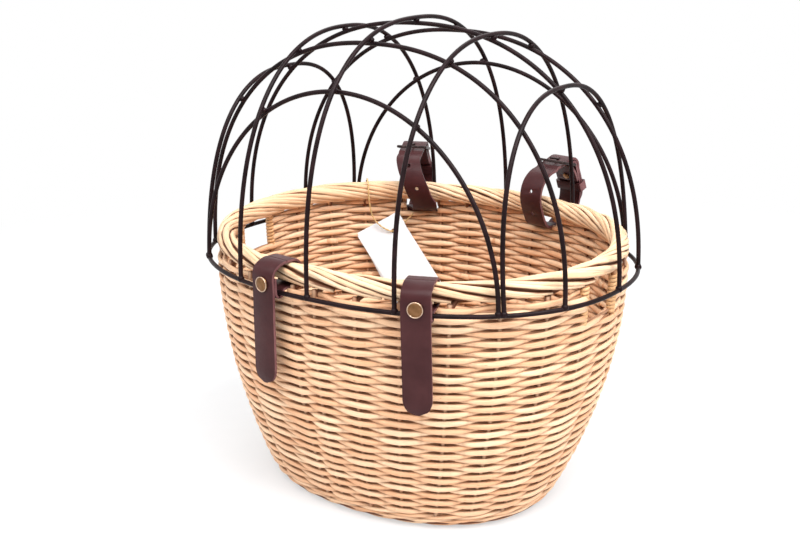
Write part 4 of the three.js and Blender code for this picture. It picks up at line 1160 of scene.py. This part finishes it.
def join(pieces, name):
    bpy.ops.object.select_all(action="DESELECT")
    for piece in pieces:
        piece.select_set(True)
    bpy.context.view_layer.objects.active = pieces[0]
    bpy.ops.object.join()
    joined = bpy.context.object
    joined.name = name
    joined.data.name = name
    return joined


def make_dome():
    lines = {}
    for name, arch in ARCHES.items():
        line = even_line(arch_line(arch, ARCH_STEPS), ARCH_STEP)
        lines[name] = line
        finish(bend_wire(line, f"{name}_wire"), COATED_WIRE, "wire", "dome", name)
    angle = np.linspace(-math.pi, math.pi, HOOP_STEPS, endpoint=False)
    hoop = np.stack([
        HOOP_X * signed_power(np.cos(angle), 2 / HOOP_ROUNDNESS),
        HOOP_Y * signed_power(np.sin(angle), 2 / HOOP_ROUNDNESS),
        np.full(HOOP_STEPS, HOOP_Z),
    ], axis=-1)
    finish(bend_wire(hoop, "hoop_wire", closed=True), COATED_WIRE, "wire", "dome", "hoop")
    weld_dome(lines)


def weld_dome(lines):
    """Beads where the wires cross, and where they stand on the hoop."""
    beads = []
    crosswise = [line for name, line in lines.items() if ARCHES[name]["cross"]]
    lengthwise = [line for name, line in lines.items() if not ARCHES[name]["cross"]]
    for one in crosswise:
        for two in lengthwise:
            gaps = np.linalg.norm(one[:, None] - two[None], axis=2)
            i, j = np.unravel_index(np.argmin(gaps), gaps.shape)
            if gaps[i, j] < CROSSING_REACH and one[i, 2] > HOOP_Z + CROSSING_ABOVE_HOOP:
                beads.append(weld_bead((one[i] + two[j]) / 2, *CROSSING_BEAD))
    for line in lines.values():
        for foot in (line[0], line[-1]):
            beads.append(weld_bead((foot[0], foot[1], HOOP_Z + FOOT_BEAD_RISE), *FOOT_BEAD))
    welds = join(beads, "dome_welds")
    welds.data.shade_smooth()
    finish(welds, COATED_WIRE, "wire", "dome")


make_dome()


# Leather, brass and card, each from its CAD solid

SHARP_EDGE = 25
SMOOTH_BELOW = 35
EDGE_SEGMENTS = 2
LEATHER_EDGE_WIDTH = 0.4
BRASS_EDGE_WIDTH = 0.25
BUCKLE_EDGE_WIDTH = 0.4


def dressed_copy(node, name, edge_width):
    """A copy of a solid with merged points and rounded edges."""
    bpy.ops.object.select_all(action="DESELECT")
    source = frame["nodes"][node]
    piece = bpy.data.objects.new(name, source.data.copy())
    bpy.context.scene.collection.objects.link(piece)
    piece.select_set(True)
    bpy.context.view_layer.objects.active = piece
    bpy.ops.object.mode_set(mode="EDIT")
    bpy.ops.mesh.select_all(action="SELECT")
    bpy.ops.mesh.remove_doubles(threshold=0.02 * MM)
    bpy.ops.mesh.tris_convert_to_quads(face_threshold=math.radians(12), shape_threshold=math.radians(60))
    bpy.ops.mesh.normals_make_consistent(inside=False)
    bpy.ops.object.mode_set(mode="OBJECT")
    rounding = piece.modifiers.new("rounded_edges", "BEVEL")
    rounding.width = edge_width * MM
    rounding.segments = EDGE_SEGMENTS
    rounding.limit_method = "ANGLE"
    rounding.angle_limit = math.radians(SHARP_EDGE)
    bpy.ops.object.modifier_apply(modifier="rounded_edges")
    bpy.ops.object.shade_smooth_by_angle(angle=math.radians(SMOOTH_BELOW))
    return piece


def body_of(node):
    for body, nodes in frame["record"]["behaviour"]["bodies"].items():
        if node in nodes:
            return body
    raise KeyError(node)


def cut_edges(piece, across):
    """The narrow sides of a strap are raw, paler leather."""
    piece.data.materials.clear()
    piece.data.materials.append(LEATHER)
    piece.data.materials.append(LEATHER_EDGE)
    across = Vector(across)
    for face in piece.data.polygons:
        face.material_index = 1 if abs(face.normal.dot(across)) > 0.75 else 0


STRAPS = {
    "front_strap_left": (FRONT_LEFT_X, FRONT),
    "front_tab_left": (FRONT_LEFT_X, FRONT),
    "front_tail_left": (FRONT_LEFT_X, FRONT),
    "front_strap_right": (FRONT_RIGHT_X, FRONT),
    "front_tab_right": (FRONT_RIGHT_X, FRONT),
    "front_tail_right": (FRONT_RIGHT_X, FRONT),
    "rear_strap_left": (REAR_LEFT_X, REAR),
    "rear_strap_right": (REAR_RIGHT_X, REAR),
    "keeper_left": (REAR_LEFT_X, REAR),
    "keeper_right": (REAR_RIGHT_X, REAR),
}


def dress_leather():
    for node, (x, side) in STRAPS.items():
        piece = dressed_copy(node, f"{node}_leather", LEATHER_EDGE_WIDTH)
        normal = rim_normal(x, side)
        cut_edges(piece, (abs(normal.y), -math.copysign(normal.x, normal.y), 0))
        finish(piece, None, "leather", body_of(node), node)


def dress_metal():
    for node in ("stud_cap_left", "stud_cap_right", "stud_post_left", "stud_post_right",
                 "rivet_left", "rivet_right"):
        piece = dressed_copy(node, f"{node}_brass", BRASS_EDGE_WIDTH)
        finish(piece, OLD_BRASS, "old_brass", body_of(node), node)
    for node in ("buckle_frame_left", "buckle_frame_right", "buckle_prong_left", "buckle_prong_right"):
        piece = dressed_copy(node, f"{node}_metal", BUCKLE_EDGE_WIDTH)
        finish(piece, DARK_BUCKLE, "old_brass", body_of(node), node)


RING_INSET = 0.5
RING_THICK = 0.45
RING_SUNK = 0.75


def rim_ring(side):
    """A brighter ring round the edge of a press-stud's cap."""
    cap = f"stud_cap_{side}"
    points = [Vector(vertex.co) for vertex in frame["nodes"][cap].data.vertices]
    middle = sum(points, Vector()) / len(points)
    x, rim_side = STRAPS[f"front_tail_{side}"]
    axis = rim_normal(x, rim_side)
    spread = [point - middle for point in points]
    face = max(step.dot(axis) for step in spread)
    reach = max((step - axis * step.dot(axis)).length for step in spread)
    bpy.ops.object.select_all(action="DESELECT")
    bpy.ops.mesh.primitive_torus_add(
        major_segments=48, minor_segments=8,
        major_radius=reach - RING_INSET * MM, minor_radius=RING_THICK * MM)
    ring = bpy.context.object
    ring.rotation_mode = "QUATERNION"
    ring.rotation_quaternion = axis.to_track_quat("Z", "Y")
    ring.location = middle + axis * (face - RING_SUNK * MM)
    bpy.ops.object.transform_apply(location=True, rotation=True, scale=True)
    bpy.ops.object.shade_smooth()
    ring.name = f"stud_rim_{side}"
    finish(ring, BRIGHT_RIM, "old_brass", body_of(cap))


def finish_cards():
    cards = [frame["nodes"][node] for node in ("tag_card_front", "tag_card_back")]
    for card in cards:
        for slot in card.material_slots:
            slot.material = WHITE_CARD
    return cards


dress_leather()
dress_metal()
rim_ring("left")
rim_ring("right")
tag_cards = finish_cards()


# The studio

def area_lamp(name, azimuth, elevation, distance, size, power):
    back = direction(azimuth, elevation)
    data = bpy.data.lights.new(name, "AREA")
    data.shape = "SQUARE"
    data.size = size
    data.energy = power
    lamp = bpy.data.objects.new(name, data)
    bpy.context.scene.collection.objects.link(lamp)
    lamp.location = Vector((0, 0, LAMP_HEIGHT)) + back * distance
    lamp.rotation_mode = "QUATERNION"
    lamp.rotation_quaternion = back.to_track_quat("Z", "Y")


def white_seen(nodes):
    """Is 1 where the camera, a reflection or a view through glass looks, and 0 for the light itself."""
    path = nodes.add("ShaderNodeLightPath").outputs
    seen = nodes.math("MAXIMUM", path["Is Camera Ray"], path["Is Glossy Ray"])
    return nodes.math("MAXIMUM", seen, path["Is Transmission Ray"])


def white_light(nodes, strength):
    node = nodes.add("ShaderNodeBackground")
    node.inputs["Color"].default_value = (1, 1, 1, 1)
    node.inputs["Strength"].default_value = strength
    return node.outputs[0]


def light_surroundings():
    """An even pale light, seen as plain white."""
    world = bpy.data.worlds.new("studio")
    world.use_nodes = True
    bpy.context.scene.world = world
    world.node_tree.nodes.clear()
    nodes = Nodes(world.node_tree)
    mixed = nodes.add("ShaderNodeMixShader")
    nodes.link(white_seen(nodes), mixed.inputs[0])
    nodes.link(white_light(nodes, SURROUNDING_LIGHT), mixed.inputs[1])
    nodes.link(white_light(nodes, SEEN_WHITE), mixed.inputs[2])
    nodes.link(mixed.outputs[0], nodes.add("ShaderNodeOutputWorld").inputs["Surface"])


def lay_floor():
    """A pale floor that keeps the shadow and fades to white away from the basket."""
    bpy.ops.object.select_all(action="DESELECT")
    bpy.ops.mesh.primitive_plane_add(size=FLOOR_SIZE, location=(0, 0, 0))
    floor = bpy.context.object
    floor.name = "floor"
    made = Material("pale_floor", Specular_IOR_Level=0.1, Roughness=0.9)
    speck = made.noise(made.place(), 40.0)
    made.colour(made.mix(speck, srgb(230, 231, 233), srgb(235, 236, 238)))
    distance = made.add("ShaderNodeVectorMath", operation="LENGTH")
    made.link(made.place(), distance.inputs[0])
    far = made.spread(distance.outputs["Value"], FADE_NEAR, FADE_FAR, FADE_AT_BASKET, 1.0)
    glow = made.add("ShaderNodeEmission")
    faded = made.add("ShaderNodeMixShader")
    made.link(made.math("MULTIPLY", far, white_seen(made)), faded.inputs[0])
    made.link(made.shader.outputs["BSDF"], faded.inputs[1])
    made.link(glow.outputs["Emission"], faded.inputs[2])
    made.link(faded.outputs["Shader"], made.output.inputs["Surface"])
    floor.data.materials.append(made.material)


light_surroundings()
lay_floor()
for lamp in LAMPS:
    area_lamp(**lamp)

bpy.context.scene.view_settings.view_transform = "Standard"
